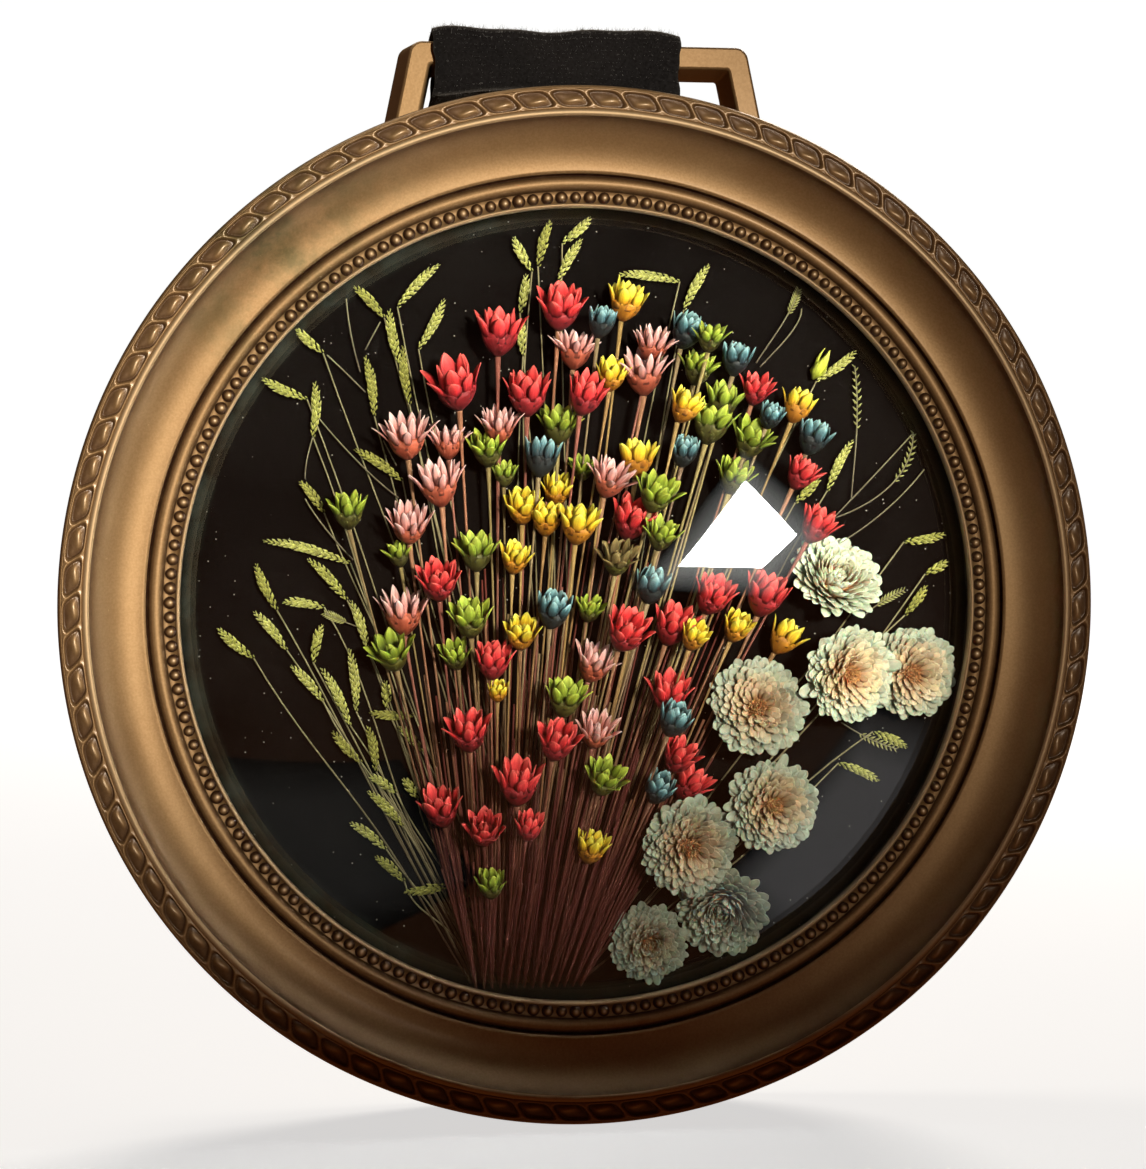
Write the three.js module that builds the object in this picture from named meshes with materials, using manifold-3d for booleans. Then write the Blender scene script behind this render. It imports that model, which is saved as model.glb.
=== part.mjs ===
// Domed dried flower frame: a round moulded frame with a rope band and a row of pearls,
// a bulging glass, a bouquet of dried starflowers, strawflowers and grasses on black velvet,
// and a loop at the top that a velvet ribbon is threaded through.
// Millimetres. X is to the viewer's right, Z is up and the front faces -Y. The wall plane is
// y = 0 and the origin is the centre of the frame's back, on the axis of all its circles.

import * as THREE from 'three';
import { mergeVertices } from 'three/addons/utils/BufferGeometryUtils.js';
import Module from 'manifold-3d';

const wasm = await Module();
wasm.setup();

// Clearance between pieces that touch, and how far a cutter runs past what it cuts
const clearance = 0.3;
const overrun = 1;

// Frame moulding: every depth is measured backwards from the front crest
const frameRadius = 103.2;
const frameDepth = 26;
const frameBackFlare = 0.5;
const edgeRoundingDepth = 3;
const edgeRoundingReach = 0.9;
const ledgeDepth = 0.3;
const mouldingWidth = 23.05;

// Rope band: how far in it lies from the frame's outer edge, and the size of one cell
const ropeInset = 3;
const ropeWidth = 3.7;
const ropeCellLength = 6.995;
const ropePocketDepth = 1.2;
const ropePocketInset = 0.3;
const ropePillowDepth = 0.3;

// Crest and cove: the crest from the outer edge, the cove's foot from the opening's edge
const crestInset = 5.6;
const crestWidth = 1.4;
const coveFootWidth = 6.55;
const coveDepth = 7.6;
const grooveDepth = 9.3;
const grooveWidth = 0.9;

// Bead and pearls: how far out their middles lie from the opening's edge
const beadOffset = 4.45;
const beadWidth = 2.2;
const pearlOffset = 1.85;
const pearlDiameter = 2.4;
const pearlHeight = 1.1;
const pearlFootDepth = 0.3;
const pearlSpacing = 2.862;

// Lip that the glass bears on, and the shoulder that the backing board bears on
const lipThickness = 1.8;
const lipWidth = 3.45;
const shoulderWidth = 7.4;

// Glass, spacer, velvet ground and backing board, from the front to the back
const domeRiseShare = 0.237;
const glassThickness = 1.8;
const spacerThickness = 1;
const groundThickness = 1.4;
const backingThickness = 3;

// Flush tacks that hold the backing board
const tackCount = 6;
const tackHeadRadius = 2.2;
const tackHeadDepth = 1.1;
const tackRadius = 0.7;
const tackLength = 12;
const tackPointLength = 1.5;

// Hanger loop: a trapezoid whose drafted sides are widest at the back
const loopDepth = 12.5;
const loopRise = 10;
const loopBarHeight = 4.4;
const loopTopHalfWidth = 33.8;
const loopLegWidth = 3.5;
const loopLegLength = 20;
const loopLegLeanShare = 0.21;
const loopOuterFlare = 2;
const loopTopFlare = 0.9;
const loopInnerInset = 0.7;
const loopCornerRadius = 2;

// Velvet ribbon: under the loop's bar, up its front, over its top, and both tails down the back
const ribbonWidth = 50;
const ribbonThickness = 1.4;
const ribbonBendRadius = 1.3;
const ribbonTopSlack = 0.6;
const ribbonFrontSlack = 0.5;
const ribbonInnerTail = 52;
const ribbonOuterTail = 66;
const ribbonTailLift = 0.8;

// The bouquet is made to fit its frame, so its sizes are shares of the opening's radius.
// Starflowers: a cup of petals on a thin stem, gathered in bunches whose butts are glued
const headRadiusShare = 0.0536;
const headHeightShare = 0.0873;
const starStemShare = 0.00475;
const starSpacingShare = 0.0102;
const buttHeightShare = 0.03;
const bundleWidthShare = 0.287;
const forwardStepShare = 0.0062;
const bunchCount = 14;

// Grasses: pointed ears on stems that lie on the velvet
const earRadiusShare = 0.0106;
const grassStemShare = 0.00275;
const grassSpacingShare = 0.005;
const sprayGapShare = 0.0075;
const stemRiseShare = 0.1;

// Strawflowers: full heads, each on a short stub that is glued to the velvet
const strawRadiusShare = 0.116;
const stubRadiusShare = 0.01;

// The measured picture in its own pixels, and its viewpoint as shares of the opening's radius
const pictureCentrePixels = { x: 573, y: 584.5 };
const focalPixels = 2320;
const eyeShares = [-0.696, -5.78, 0.305];
const targetShares = [-0.038, -0.115, 0.063];

// The stems fan out from a point below the picture's bundle of stems
const fanPixels = { x: 526, y: 1137 };

// Starflower heads by colour: place in the picture, and share of a full head's size
const headPixels = {
  red: [
    [560, 302, 1], [498, 328, 1], [458, 379, 1.1], [528, 388, 1], [582, 389, 0.9], [437, 574, 0.9],
    [469, 725, 0.9], [556, 734, 0.95], [519, 777, 1], [440, 800, 0.9], [484, 820, 0.8],
    [528, 820, 0.95], [630, 512, 0.95], [624, 622, 0.95], [673, 618, 0.95], [491, 654, 0.85],
    [713, 588, 0.9], [769, 590, 1], [676, 688, 0.9], [679, 748, 0.8], [690, 777, 0.85],
    [757, 385, 0.7], [800, 468, 0.75], [817, 520, 0.85],
  ],
  pink: [
    [575, 345, 0.85], [653, 340, 0.8], [649, 368, 1], [405, 431, 1], [447, 437, 0.75],
    [499, 421, 0.8], [440, 478, 1], [406, 517, 0.9], [607, 472, 0.85], [399, 607, 1],
    [592, 656, 0.85], [597, 723, 0.8],
  ],
  yellow: [
    [624, 297, 0.85], [612, 370, 0.7], [798, 402, 0.75], [682, 400, 0.75], [640, 454, 0.85],
    [557, 484, 0.7], [523, 500, 0.8], [547, 513, 0.75], [578, 518, 0.9], [513, 552, 0.7],
    [521, 626, 0.75], [498, 684, 0.5], [695, 630, 0.65], [738, 621, 0.7], [785, 632, 0.8],
    [593, 841, 0.75],
  ],
  green: [
    [712, 333, 0.75], [698, 364, 0.85], [725, 397, 0.8], [712, 418, 0.95], [751, 434, 0.85],
    [735, 471, 0.8], [560, 420, 0.85], [488, 443, 0.8], [504, 469, 0.55], [583, 463, 0.55],
    [655, 487, 0.85], [343, 506, 0.8], [476, 546, 0.85], [398, 549, 0.55], [662, 529, 0.7],
    [619, 552, 0.75], [470, 612, 0.85], [391, 645, 0.85], [457, 648, 0.65], [589, 602, 0.6],
    [566, 692, 0.85], [604, 770, 0.8], [493, 878, 0.65],
  ],
  blue: [
    [600, 317, 0.7], [685, 326, 0.8], [738, 355, 0.75], [771, 411, 0.6], [814, 433, 0.8],
    [540, 452, 0.85], [686, 446, 0.7], [552, 603, 0.85], [653, 580, 0.8], [675, 713, 0.8],
    [659, 780, 0.75],
  ],
};
const headColours = { red: 0xc9302f, pink: 0xd98f8c, yellow: 0xd9b23a, green: 0x8aa038, blue: 0x5f9aa3 };

// Grass ears by spray: the tip and the foot of each in the picture
const earPixels = {
  low_left: [
    [217, 625, 255, 658], [252, 609, 288, 650], [348, 820, 387, 848], [374, 854, 405, 880],
    [256, 560, 278, 610], [289, 663, 324, 701], [324, 622, 314, 662], [332, 728, 362, 762],
    [319, 663, 351, 725], [367, 722, 377, 771], [348, 643, 357, 711], [365, 788, 404, 825],
    [281, 602, 325, 607], [368, 774, 397, 792],
  ],
  left: [
    [305, 556, 348, 600], [385, 679, 387, 708], [349, 597, 368, 648], [299, 480, 325, 513],
    [403, 777, 418, 798], [256, 540, 351, 563], [315, 378, 314, 438], [260, 377, 308, 400],
    [401, 890, 451, 883], [397, 724, 423, 751], [367, 711, 415, 715], [296, 328, 324, 354],
  ],
  upper_left: [
    [364, 352, 375, 417], [351, 448, 403, 481], [352, 286, 385, 319], [390, 306, 400, 365],
    [404, 342, 410, 405], [444, 263, 398, 308], [446, 296, 419, 350],
  ],
  top: [
    [526, 273, 520, 314], [523, 319, 523, 357], [513, 236, 532, 273], [552, 219, 538, 268],
    [584, 238, 558, 282], [592, 217, 562, 245],
  ],
  upper_right: [[613, 276, 679, 283], [711, 263, 683, 311]],
  right: [[857, 349, 815, 382], [820, 474, 794, 503], [854, 437, 826, 491]],
  low_right: [
    [946, 533, 902, 542], [946, 560, 923, 574], [925, 583, 903, 615], [880, 782, 837, 762],
    [907, 748, 871, 731],
  ],
};

// Strawflower heads: place in the picture, share of a full size, share of the radius that its
// stub is set off to the left, and the shares of the room between the grasses and the glass
// that it stands off and that it fills
const strawPixels = [
  [834, 585, 1, 0.25, 0, 0.4], [846, 673, 1, 0.25, 0.39, 0.42], [909, 673, 0.98, 0.25, 0, 0.63],
  [757, 710, 1, 0, 0.31, 0.33], [771, 805, 0.96, 0.25, 0.39, 0.4],
  [687, 846, 1, 0.25, 0.41, 0.4], [725, 906, 0.98, 0.25, 0, 0.6], [648, 943, 0.8, 0.1, 0, 0.53],
];

// Outlines as shares of what they are drawn on
const ropeOutlineShares = [
  [-0.44, 0.5], [0.2, 0.5], [0.46, 0.12], [0.41, -0.5], [-0.23, -0.5], [-0.47, -0.1],
];
const ropeRidgeShares = [[-0.2, 0.05], [0.2, -0.05]];
const ropeRidgeOrder = [0, 1, 1, 1, 0, 0];
const headRingShares = [[0.5, 0.14], [1, 1]];
const headHollowShare = 0.6;
const strawProfileShares = [
  [0, 0], [0.6, 0], [0.97, 0.16], [1, 0.4], [0.62, 0.95], [0.28, 1], [0, 0.86],
];
const earBellyShare = 0.4;
const sameBunchShare = 0.62;
const shrinkShare = 0.93;
const shrinkTries = 6;
const tailBendShare = 0.7;

// Fineness of the round shapes
const frameSides = 60;
const innerSides = 40;
const glassSides = 36;
const glassRings = 3;
const edgeSteps = 2;
const coveSteps = 4;
const beadSteps = 4;
const pearlSides = 5;
const headSides = 5;
const earSides = 3;
const strawSides = 11;
const tackSides = 8;
const loopCornerSteps = 3;
const ribbonBendSteps = 3;

// Places that several pieces share
const frontY = -frameDepth;
const openingRadius = frameRadius - mouldingWidth;
const rabbetRadius = openingRadius + lipWidth;
const shoulderRadius = rabbetRadius + shoulderWidth;
const ropeRadius = frameRadius - ropeInset;
const loopTop = frameRadius + loopRise;
const lipBackY = frontY + grooveDepth + lipThickness;
const shoulderY = -backingThickness - clearance;
const groundY = shoulderY - groundThickness;
const liningRadius = rabbetRadius - clearance;
const spacerInnerRadius = liningRadius - spacerThickness;
const frameBackRadius = frameRadius + frameBackFlare;

// Sizes of the bouquet's pieces
const starStemRadius = openingRadius * starStemShare;
const starStemSpacing = openingRadius * starSpacingShare;
const buttHeight = openingRadius * buttHeightShare;
const bundleWidth = openingRadius * bundleWidthShare;
const grassEarRadius = openingRadius * earRadiusShare;
const grassStemRadius = openingRadius * grassStemShare;

// The glass is a cap of a sphere that bears on the inner edge of the lip's back
const domeRise = openingRadius * domeRiseShare;
const sphereRadius = (openingRadius ** 2 + domeRise ** 2) / (2 * domeRise);
const innerSphereRadius = sphereRadius - glassThickness;
const sphereCentreY = lipBackY + clearance + Math.sqrt(sphereRadius ** 2 - openingRadius ** 2);
const glassInnerY = (radius) => sphereCentreY - Math.sqrt(innerSphereRadius ** 2 - radius ** 2);

// Layers on the velvet: grass stems, grass ears, and the back of the starflower stems
const grassStemY = groundY - clearance - grassStemRadius;
const grassEarY = grassStemY - grassStemRadius - clearance - grassEarRadius;
const starBackY = grassStemY - grassStemRadius - clearance;
const headBackY = grassEarY - grassEarRadius - clearance;

// Materials

function material(colour, roughness, metalness = 0, options = {}) {
  return new THREE.MeshStandardMaterial({ color: colour, roughness, metalness, ...options });
}

const goldPaint = () => material(0xb98a55, 0.42, 0.55);
const blackVelvet = () => material(0x0b0a0b, 0.95);
const blackCard = () => material(0x17140f, 0.9);
const hardboard = () => material(0x8a6f4e, 0.9);
const steel = () => material(0x8d8f92, 0.35, 0.9);
const clearGlass = () => material(0xf4f8f6, 0.03, 0, { transparent: true, opacity: 0.25 });
const driedGrass = () => material(0x97a24a, 0.8);
const paleStraw = () => material(0xdfe3cf, 0.85);

// Solids and skins

// A closed geometry turned into a solid that can be joined and cut
function solidOf(geometry) {
  const bare = geometry.index ? geometry.toNonIndexed() : geometry.clone();
  for (const name of Object.keys(bare.attributes)) {
    if (name !== 'position') bare.deleteAttribute(name);
  }
  const merged = mergeVertices(bare);
  const corners = [];
  for (let i = 0; i < merged.index.count; i += 3) {
    const [a, b, c] = [0, 1, 2].map((k) => merged.index.getX(i + k));
    if (a !== b && b !== c && c !== a) corners.push(a, b, c);
  }
  return new wasm.Manifold(new wasm.Mesh({
    numProp: 3,
    vertProperties: new Float32Array(merged.attributes.position.array),
    triVerts: new Uint32Array(corners),
  }));
}

function geometryOf(solid) {
  const mesh = solid.getMesh();
  const geometry = new THREE.BufferGeometry();
  geometry.setAttribute('position', new THREE.Float32BufferAttribute(mesh.vertProperties, 3));
  geometry.setIndex(Array.from(mesh.triVerts));
  geometry.computeVertexNormals();
  return geometry;
}

// All of a list's solids in one, joined in pairs, then in pairs of pairs
function joined(solids) {
  if (solids.length === 1) return solids[0];
  const middle = Math.ceil(solids.length / 2);
  return joined(solids.slice(0, middle)).add(joined(solids.slice(middle)));
}

function named(name, geometry, look) {
  const mesh = new THREE.Mesh(geometry, look);
  mesh.name = name;
  return mesh;
}

// Profile points [radius, y] turned round the frame's axis
function turned(profile, sides) {
  return new THREE.LatheGeometry(profile.map(([r, y]) => new THREE.Vector2(r, y)), sides);
}

// A skin through rings of as many points each, closed by a flat cap on the first and last ring
function lofted(rings) {
  const count = rings[0].length;
  const last = (rings.length - 1) * count;
  const faces = [];
  for (let start = 0; start < last; start += count) {
    for (let i = 0; i < count; i += 1) {
      const a = start + i;
      const b = start + ((i + 1) % count);
      faces.push(a, b, b + count, a, b + count, a + count);
    }
  }
  for (let i = 1; i + 1 < count; i += 1) {
    faces.push(0, i + 1, i, last, last + i, last + i + 1);
  }
  const geometry = new THREE.BufferGeometry().setFromPoints(rings.flat());
  geometry.setIndex(faces);
  return geometry;
}

// A ring of points round the line from one point to another
function ringAcross(centre, direction, radius, sides) {
  const aside = new THREE.Vector3(0, 1, 0).cross(direction).normalize();
  const over = direction.clone().cross(aside);
  return Array.from({ length: sides }, (_, i) => {
    const turn = (i / sides) * 2 * Math.PI;
    return centre.clone()
      .addScaledVector(aside, radius * Math.cos(turn))
      .addScaledVector(over, radius * Math.sin(turn));
  });
}

// Evenly spread angles round the circle, the first one half a step in
function anglesRound(count) {
  return Array.from({ length: count }, (_, i) => ((i + 0.5) / count) * 2 * Math.PI);
}

// Frame moulding

// Counter-clockwise from the back's outer edge: up the outside, over the rounded edge, the ledge
// and its crest, down the cove, over the bead, along the flat under the pearls, round the lip,
// and back through the rabbet and the backing board's recess
function frameProfile() {
  const ledgeY = frontY + ledgeDepth;
  const grooveY = frontY + grooveDepth;
  const ledgeRadius = frameRadius - edgeRoundingReach;
  const crestRadius = frameRadius - crestInset;
  const coveOuterRadius = crestRadius - crestWidth / 2;
  const coveInnerRadius = openingRadius + coveFootWidth;
  const beadRadius = openingRadius + beadOffset;
  const profile = [[frameBackRadius, 0]];
  for (let i = 0; i <= edgeSteps; i += 1) {
    const turn = (i / edgeSteps) * (Math.PI / 2);
    profile.push([
      ledgeRadius + edgeRoundingReach * Math.cos(turn),
      ledgeY + edgeRoundingDepth * (1 - Math.sin(turn)),
    ]);
  }
  profile.push([crestRadius + crestWidth / 2, ledgeY], [crestRadius, frontY]);
  for (let i = 0; i <= coveSteps; i += 1) {
    const turn = (i / coveSteps) * (Math.PI / 2);
    profile.push([
      coveInnerRadius + (coveOuterRadius - coveInnerRadius) * Math.cos(turn),
      ledgeY + (coveDepth - ledgeDepth) * Math.sin(turn),
    ]);
  }
  profile.push([beadRadius + beadWidth / 2 + grooveWidth, grooveY]);
  for (let i = 0; i <= beadSteps; i += 1) {
    const turn = (i / beadSteps) * Math.PI;
    profile.push([
      beadRadius + (beadWidth / 2) * Math.cos(turn),
      grooveY - (beadWidth / 2) * Math.sin(turn),
    ]);
  }
  profile.push(
    [openingRadius, grooveY], [openingRadius, lipBackY], [rabbetRadius, lipBackY],
    [rabbetRadius, shoulderY], [shoulderRadius, shoulderY], [shoulderRadius, 0],
    [frameBackRadius, 0],
  );
  return profile.reverse();
}

// The cutter for one cell of the rope band: a slanted pocket whose floor rises to a pillow
function ropeCell(angle, length) {
  const place = ([along, across], inset, depth) => {
    const radius = ropeRadius + across * (ropeWidth - 2 * inset);
    const turn = angle - (along * (length - 2 * inset)) / ropeRadius;
    return new THREE.Vector3(radius * Math.cos(turn), frontY + depth, radius * Math.sin(turn));
  };
  const above = ropeOutlineShares.map((share) => place(share, 0, ledgeDepth - overrun));
  const brim = ropeOutlineShares.map((share) => place(share, 0, ledgeDepth));
  const foot = ropeOutlineShares.map((share) => place(share, ropePocketInset, ropePocketDepth));
  const ridge = ropeRidgeOrder.map((end) => place(ropeRidgeShares[end], 0, ledgeDepth + ropePillowDepth));
  return lofted([above, brim, foot, ridge]);
}

// One pearl: a pointed dome whose foot is let into the flat below it
function pearl(angle) {
  const pearlRadius = openingRadius + pearlOffset;
  const height = pearlHeight + pearlFootDepth;
  const dome = new THREE.ConeGeometry(pearlDiameter / 2, height, pearlSides);
  dome.rotateX(Math.PI);
  dome.translate(
    pearlRadius * Math.cos(angle),
    frontY + grooveDepth + pearlFootDepth - height / 2,
    pearlRadius * Math.sin(angle));
  return solidOf(dome);
}

const tackAngles = anglesRound(tackCount);
const tackCircleRadius = (rabbetRadius + shoulderRadius) / 2;

// A tack with its flat head at y = 0, or, grown by the clearance, the hole for it
function tack(angle, growth) {
  const profile = [
    [0, -tackLength - growth],
    [tackRadius + growth, tackPointLength - tackLength],
    [tackRadius + growth, -tackHeadDepth - growth],
    [tackHeadRadius + growth, 0],
    [0, 0],
  ];
  const geometry = turned(profile, tackSides);
  geometry.translate(tackCircleRadius * Math.cos(angle), 0, tackCircleRadius * Math.sin(angle));
  return geometry;
}

function tackHoles() {
  return joined(tackAngles.map((angle) => solidOf(tack(angle, clearance))));
}

function frameMoulding() {
  const ropeLength = 2 * Math.PI * ropeRadius;
  const cellCount = Math.round(ropeLength / ropeCellLength);
  const cells = anglesRound(cellCount).map((angle) => solidOf(ropeCell(angle, ropeLength / cellCount)));
  const pearlRowLength = 2 * Math.PI * (openingRadius + pearlOffset);
  const pearls = anglesRound(Math.round(pearlRowLength / pearlSpacing)).map(pearl);
  const body = solidOf(turned(frameProfile(), frameSides));
  const shaped = body.add(joined(pearls)).subtract(joined(cells)).subtract(tackHoles());
  return named('frame_moulding', geometryOf(shaped), goldPaint());
}

// Glass, spacer, ground, backing board and tacks

function domedGlass() {
  const rimTurn = Math.asin(liningRadius / sphereRadius);
  const arc = (radius) => Array.from({ length: glassRings + 1 }, (_, i) => {
    const turn = (i / glassRings) * rimTurn;
    return [radius * Math.sin(turn), sphereCentreY - radius * Math.cos(turn)];
  });
  const profile = [...arc(sphereRadius), ...arc(innerSphereRadius).reverse()];
  return named('domed_glass', turned(profile, glassSides), clearGlass());
}

function spacerRing() {
  const front = glassInnerY(spacerInnerRadius) + clearance;
  const back = groundY - clearance;
  const profile = [
    [spacerInnerRadius, front], [liningRadius, front], [liningRadius, back],
    [spacerInnerRadius, back], [spacerInnerRadius, front],
  ];
  return named('spacer_ring', turned(profile, innerSides), blackCard());
}

function disc(radius, front, back) {
  return turned([[0, front], [radius, front], [radius, back], [0, back]], innerSides);
}

function velvetGround() {
  return named('velvet_ground', disc(liningRadius, groundY, shoulderY), blackVelvet());
}

function backingBoard() {
  const board = solidOf(disc(shoulderRadius - clearance, -backingThickness, 0));
  return named('backing_board', geometryOf(board.subtract(tackHoles())), hardboard());
}

function backingTacks() {
  return tackAngles.map((angle, i) => named(`backing_tack_${i + 1}`, tack(angle, 0), steel()));
}

// Hanger loop

// A trapezoid on legs that lean outwards, with its two top corners rounded
function loopOutline(top, halfWidth, foot, cornerRadius, y) {
  const lean = (drop) => halfWidth + loopLegLeanShare * drop;
  const shape = new THREE.Shape();
  shape.moveTo(-lean(top - foot), foot);
  shape.lineTo(lean(top - foot), foot);
  shape.lineTo(lean(cornerRadius), top - cornerRadius);
  shape.quadraticCurveTo(halfWidth, top, halfWidth - cornerRadius, top);
  shape.lineTo(cornerRadius - halfWidth, top);
  shape.quadraticCurveTo(-halfWidth, top, -lean(cornerRadius), top - cornerRadius);
  return shape.getPoints(loopCornerSteps).map((p) => new THREE.Vector3(p.x, y, p.y));
}

function hangerLoop() {
  const foot = loopTop - loopLegLength;
  const outer = lofted([
    loopOutline(loopTop + loopTopFlare, loopTopHalfWidth + loopOuterFlare, foot, loopCornerRadius, 0),
    loopOutline(loopTop, loopTopHalfWidth, foot, loopCornerRadius, -loopDepth),
  ]);
  // The hole's cutter has the hole's draft and runs past both faces at the same slope
  const draftPerDepth = loopInnerInset / loopDepth;
  const holeAt = (y) => {
    const narrowing = draftPerDepth * (y + loopDepth);
    return loopOutline(
      loopTop - loopBarHeight - narrowing, loopTopHalfWidth - loopLegWidth - narrowing,
      foot - overrun, loopInnerInset, y);
  };
  const hole = lofted([holeAt(overrun), holeAt(-loopDepth - overrun)]);
  const seat = turned([
    [0, frontY], [frameBackRadius + clearance, frontY],
    [frameBackRadius + clearance, overrun], [0, overrun],
  ], 2 * frameSides);
  const shaped = solidOf(outer).subtract(solidOf(hole)).subtract(solidOf(seat));
  return named('hanger_loop', geometryOf(shaped), goldPaint());
}

// Velvet ribbon

// Corners [y, z] of the ribbon's middle line and the radius that rounds each: up the inner tail,
// forwards under the bar, up its front, back over its top and down the outer tail
function ribbonCorners() {
  const half = ribbonThickness / 2;
  const bend = ribbonBendRadius;
  const innerY = clearance + half + ribbonFrontSlack / 2;
  const outerY = innerY + ribbonThickness + clearance;
  const passZ = frameBackRadius + clearance + half + ribbonFrontSlack;
  const barFrontY = -loopDepth - ribbonFrontSlack - half;
  const overZ = loopTop + loopTopFlare + clearance + half;
  return [
    [innerY + ribbonTailLift, passZ - ribbonInnerTail, 0],
    [innerY, passZ - ribbonInnerTail * tailBendShare, 0],
    [innerY, passZ, bend],
    [barFrontY, passZ, bend],
    [barFrontY, overZ, bend],
    [-loopDepth / 2, overZ + ribbonTopSlack, 0],
    [outerY, overZ, bend],
    [outerY, overZ - ribbonOuterTail * tailBendShare, 0],
    [outerY + ribbonTailLift, overZ - ribbonOuterTail, 0],
  ];
}

// The corners as a line of points, each rounded corner an arc that meets both of its runs
function ribbonLine() {
  const corners = ribbonCorners().map(([y, z, bend]) => ({ at: new THREE.Vector2(y, z), bend }));
  return corners.flatMap(({ at, bend }, i) => {
    if (bend === 0) return [at];
    const back = corners[i - 1].at.clone().sub(at).normalize();
    const on = corners[i + 1].at.clone().sub(at).normalize();
    const half = Math.acos(back.dot(on)) / 2;
    const centre = back.clone().add(on).setLength(bend / Math.sin(half)).add(at);
    const start = at.clone().addScaledVector(back, bend / Math.tan(half)).sub(centre);
    const sweep = (Math.PI - 2 * half) * Math.sign(-back.cross(on));
    return Array.from({ length: ribbonBendSteps + 1 }, (_, step) => start.clone()
      .rotateAround(new THREE.Vector2(), (step / ribbonBendSteps) * sweep).add(centre));
  });
}

// The line moved to one side by half the ribbon's thickness, square to each of its runs
function ribbonSide(line, side) {
  return line.map((point, i) => {
    const before = line[Math.max(i - 1, 0)];
    const after = line[Math.min(i + 1, line.length - 1)];
    const runIn = (i > 0 ? point.clone().sub(before) : after.clone().sub(point)).normalize();
    const runOut = (i + 1 < line.length ? after.clone().sub(point) : runIn.clone()).normalize();
    const mean = runIn.clone().add(runOut).normalize();
    const stretch = side * (ribbonThickness / 2) / mean.dot(runIn);
    return new THREE.Vector2(point.x - mean.y * stretch, point.y + mean.x * stretch);
  });
}

function velvetRibbon() {
  const line = ribbonLine();
  const under = ribbonSide(line, -1);
  const over = ribbonSide(line, 1);
  // At rest the ribbon lies against the left leg, where the hole is narrowest
  const legAtPass = loopTopHalfWidth - loopLegWidth - loopInnerInset
    + loopLegLeanShare * (loopTop - loopBarHeight - frameBackRadius - 2 * ribbonThickness);
  const left = clearance - legAtPass;
  const right = left + ribbonWidth;
  const rings = under.map((inside, i) => [
    new THREE.Vector3(left, inside.x, inside.y),
    new THREE.Vector3(left, over[i].x, over[i].y),
    new THREE.Vector3(right, over[i].x, over[i].y),
    new THREE.Vector3(right, inside.x, inside.y),
  ]);
  return named('velvet_ribbon', lofted(rings), blackVelvet());
}

// Places in the bouquet

const openingCentre = new THREE.Vector3(0, frontY + grooveDepth, 0);
const fromShares = (shares) => new THREE.Vector3(...shares)
  .multiplyScalar(openingRadius).add(openingCentre);
const eye = fromShares(eyeShares);
const ahead = fromShares(targetShares).sub(eye).normalize();
const rightward = ahead.clone().cross(new THREE.Vector3(0, 0, 1)).normalize();
const upward = rightward.clone().cross(ahead);

// Where a point of the picture lies on the plane at y, along the line of sight from the eye
function placed(pixelX, pixelY, y) {
  const sight = ahead.clone().multiplyScalar(focalPixels)
    .addScaledVector(rightward, pixelX - pictureCentrePixels.x)
    .addScaledVector(upward, pictureCentrePixels.y - pixelY);
  return eye.clone().addScaledVector(sight, (y - eye.y) / sight.y);
}

// The stems' butts stand on a chord of the spacer ring, under the middle of the bundle
const bundleX = placed(fanPixels.x, pictureCentrePixels.y, starBackY).x;
const bundleSide = Math.abs(bundleX) + bundleWidth / 2;
const buttZ = -Math.sqrt((spacerInnerRadius - clearance) ** 2 - bundleSide ** 2) + buttHeight / 2;

// Starflowers

// The heads in order of their angle at the fan's foot, shared out evenly into bunches. In a bunch
// the stems stand one in front of the other, the longest one at the back.
function starFlowers() {
  const flowers = Object.entries(headPixels).flatMap(([colour, rows]) => (
    rows.map(([x, y, size]) => ({
      colour, x, y,
      radius: openingRadius * headRadiusShare * size,
      height: openingRadius * headHeightShare * size,
      angle: Math.atan2(x - fanPixels.x, fanPixels.y - y),
      reach: Math.hypot(x - fanPixels.x, fanPixels.y - y),
    }))));
  flowers.sort((a, b) => a.angle - b.angle);
  flowers.forEach((flower, rank) => {
    flower.bunch = Math.floor((rank * bunchCount) / flowers.length);
  });
  flowers.sort((a, b) => b.reach - a.reach);
  for (const flower of flowers) {
    const behind = flowers.filter((f) => f.bunch === flower.bunch && f.reach > flower.reach);
    flower.base = new THREE.Vector3(
      bundleX + ((flower.bunch + 0.5) / bunchCount - 0.5) * bundleWidth,
      starBackY - starStemRadius - behind.length * starStemSpacing,
      buttZ);
  }
  return flowers;
}

function distanceToStretch(point, from, to) {
  const closest = new THREE.Line3(from, to).closestPointToPoint(point, true, new THREE.Vector3());
  return closest.distanceTo(point);
}

// Least distance between two stretches, measured at points along the first one
function stretchGap(from, to, otherFrom, otherTo) {
  const points = Math.ceil(from.distanceTo(to) / (2 * starStemRadius));
  let least = Infinity;
  for (let i = 0; i <= points; i += 1) {
    least = Math.min(least, distanceToStretch(from.clone().lerp(to, i / points), otherFrom, otherTo));
  }
  return least;
}

// Whether a flower's head and stem stay clear of another flower
function standsClear(flower, other) {
  const between = flower.centre.distanceTo(other.centre);
  if (other.bunch === flower.bunch) return between > (flower.radius + other.radius) * sameBunchShare;
  const headRoom = starStemRadius + clearance;
  return between > flower.girth + other.girth
    && distanceToStretch(flower.centre, other.base, other.foot) > flower.girth + headRoom
    && distanceToStretch(other.centre, flower.base, flower.foot) > other.girth + headRoom
    && stretchGap(flower.base, flower.foot, other.base, other.foot) > 2 * starStemRadius;
}

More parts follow.
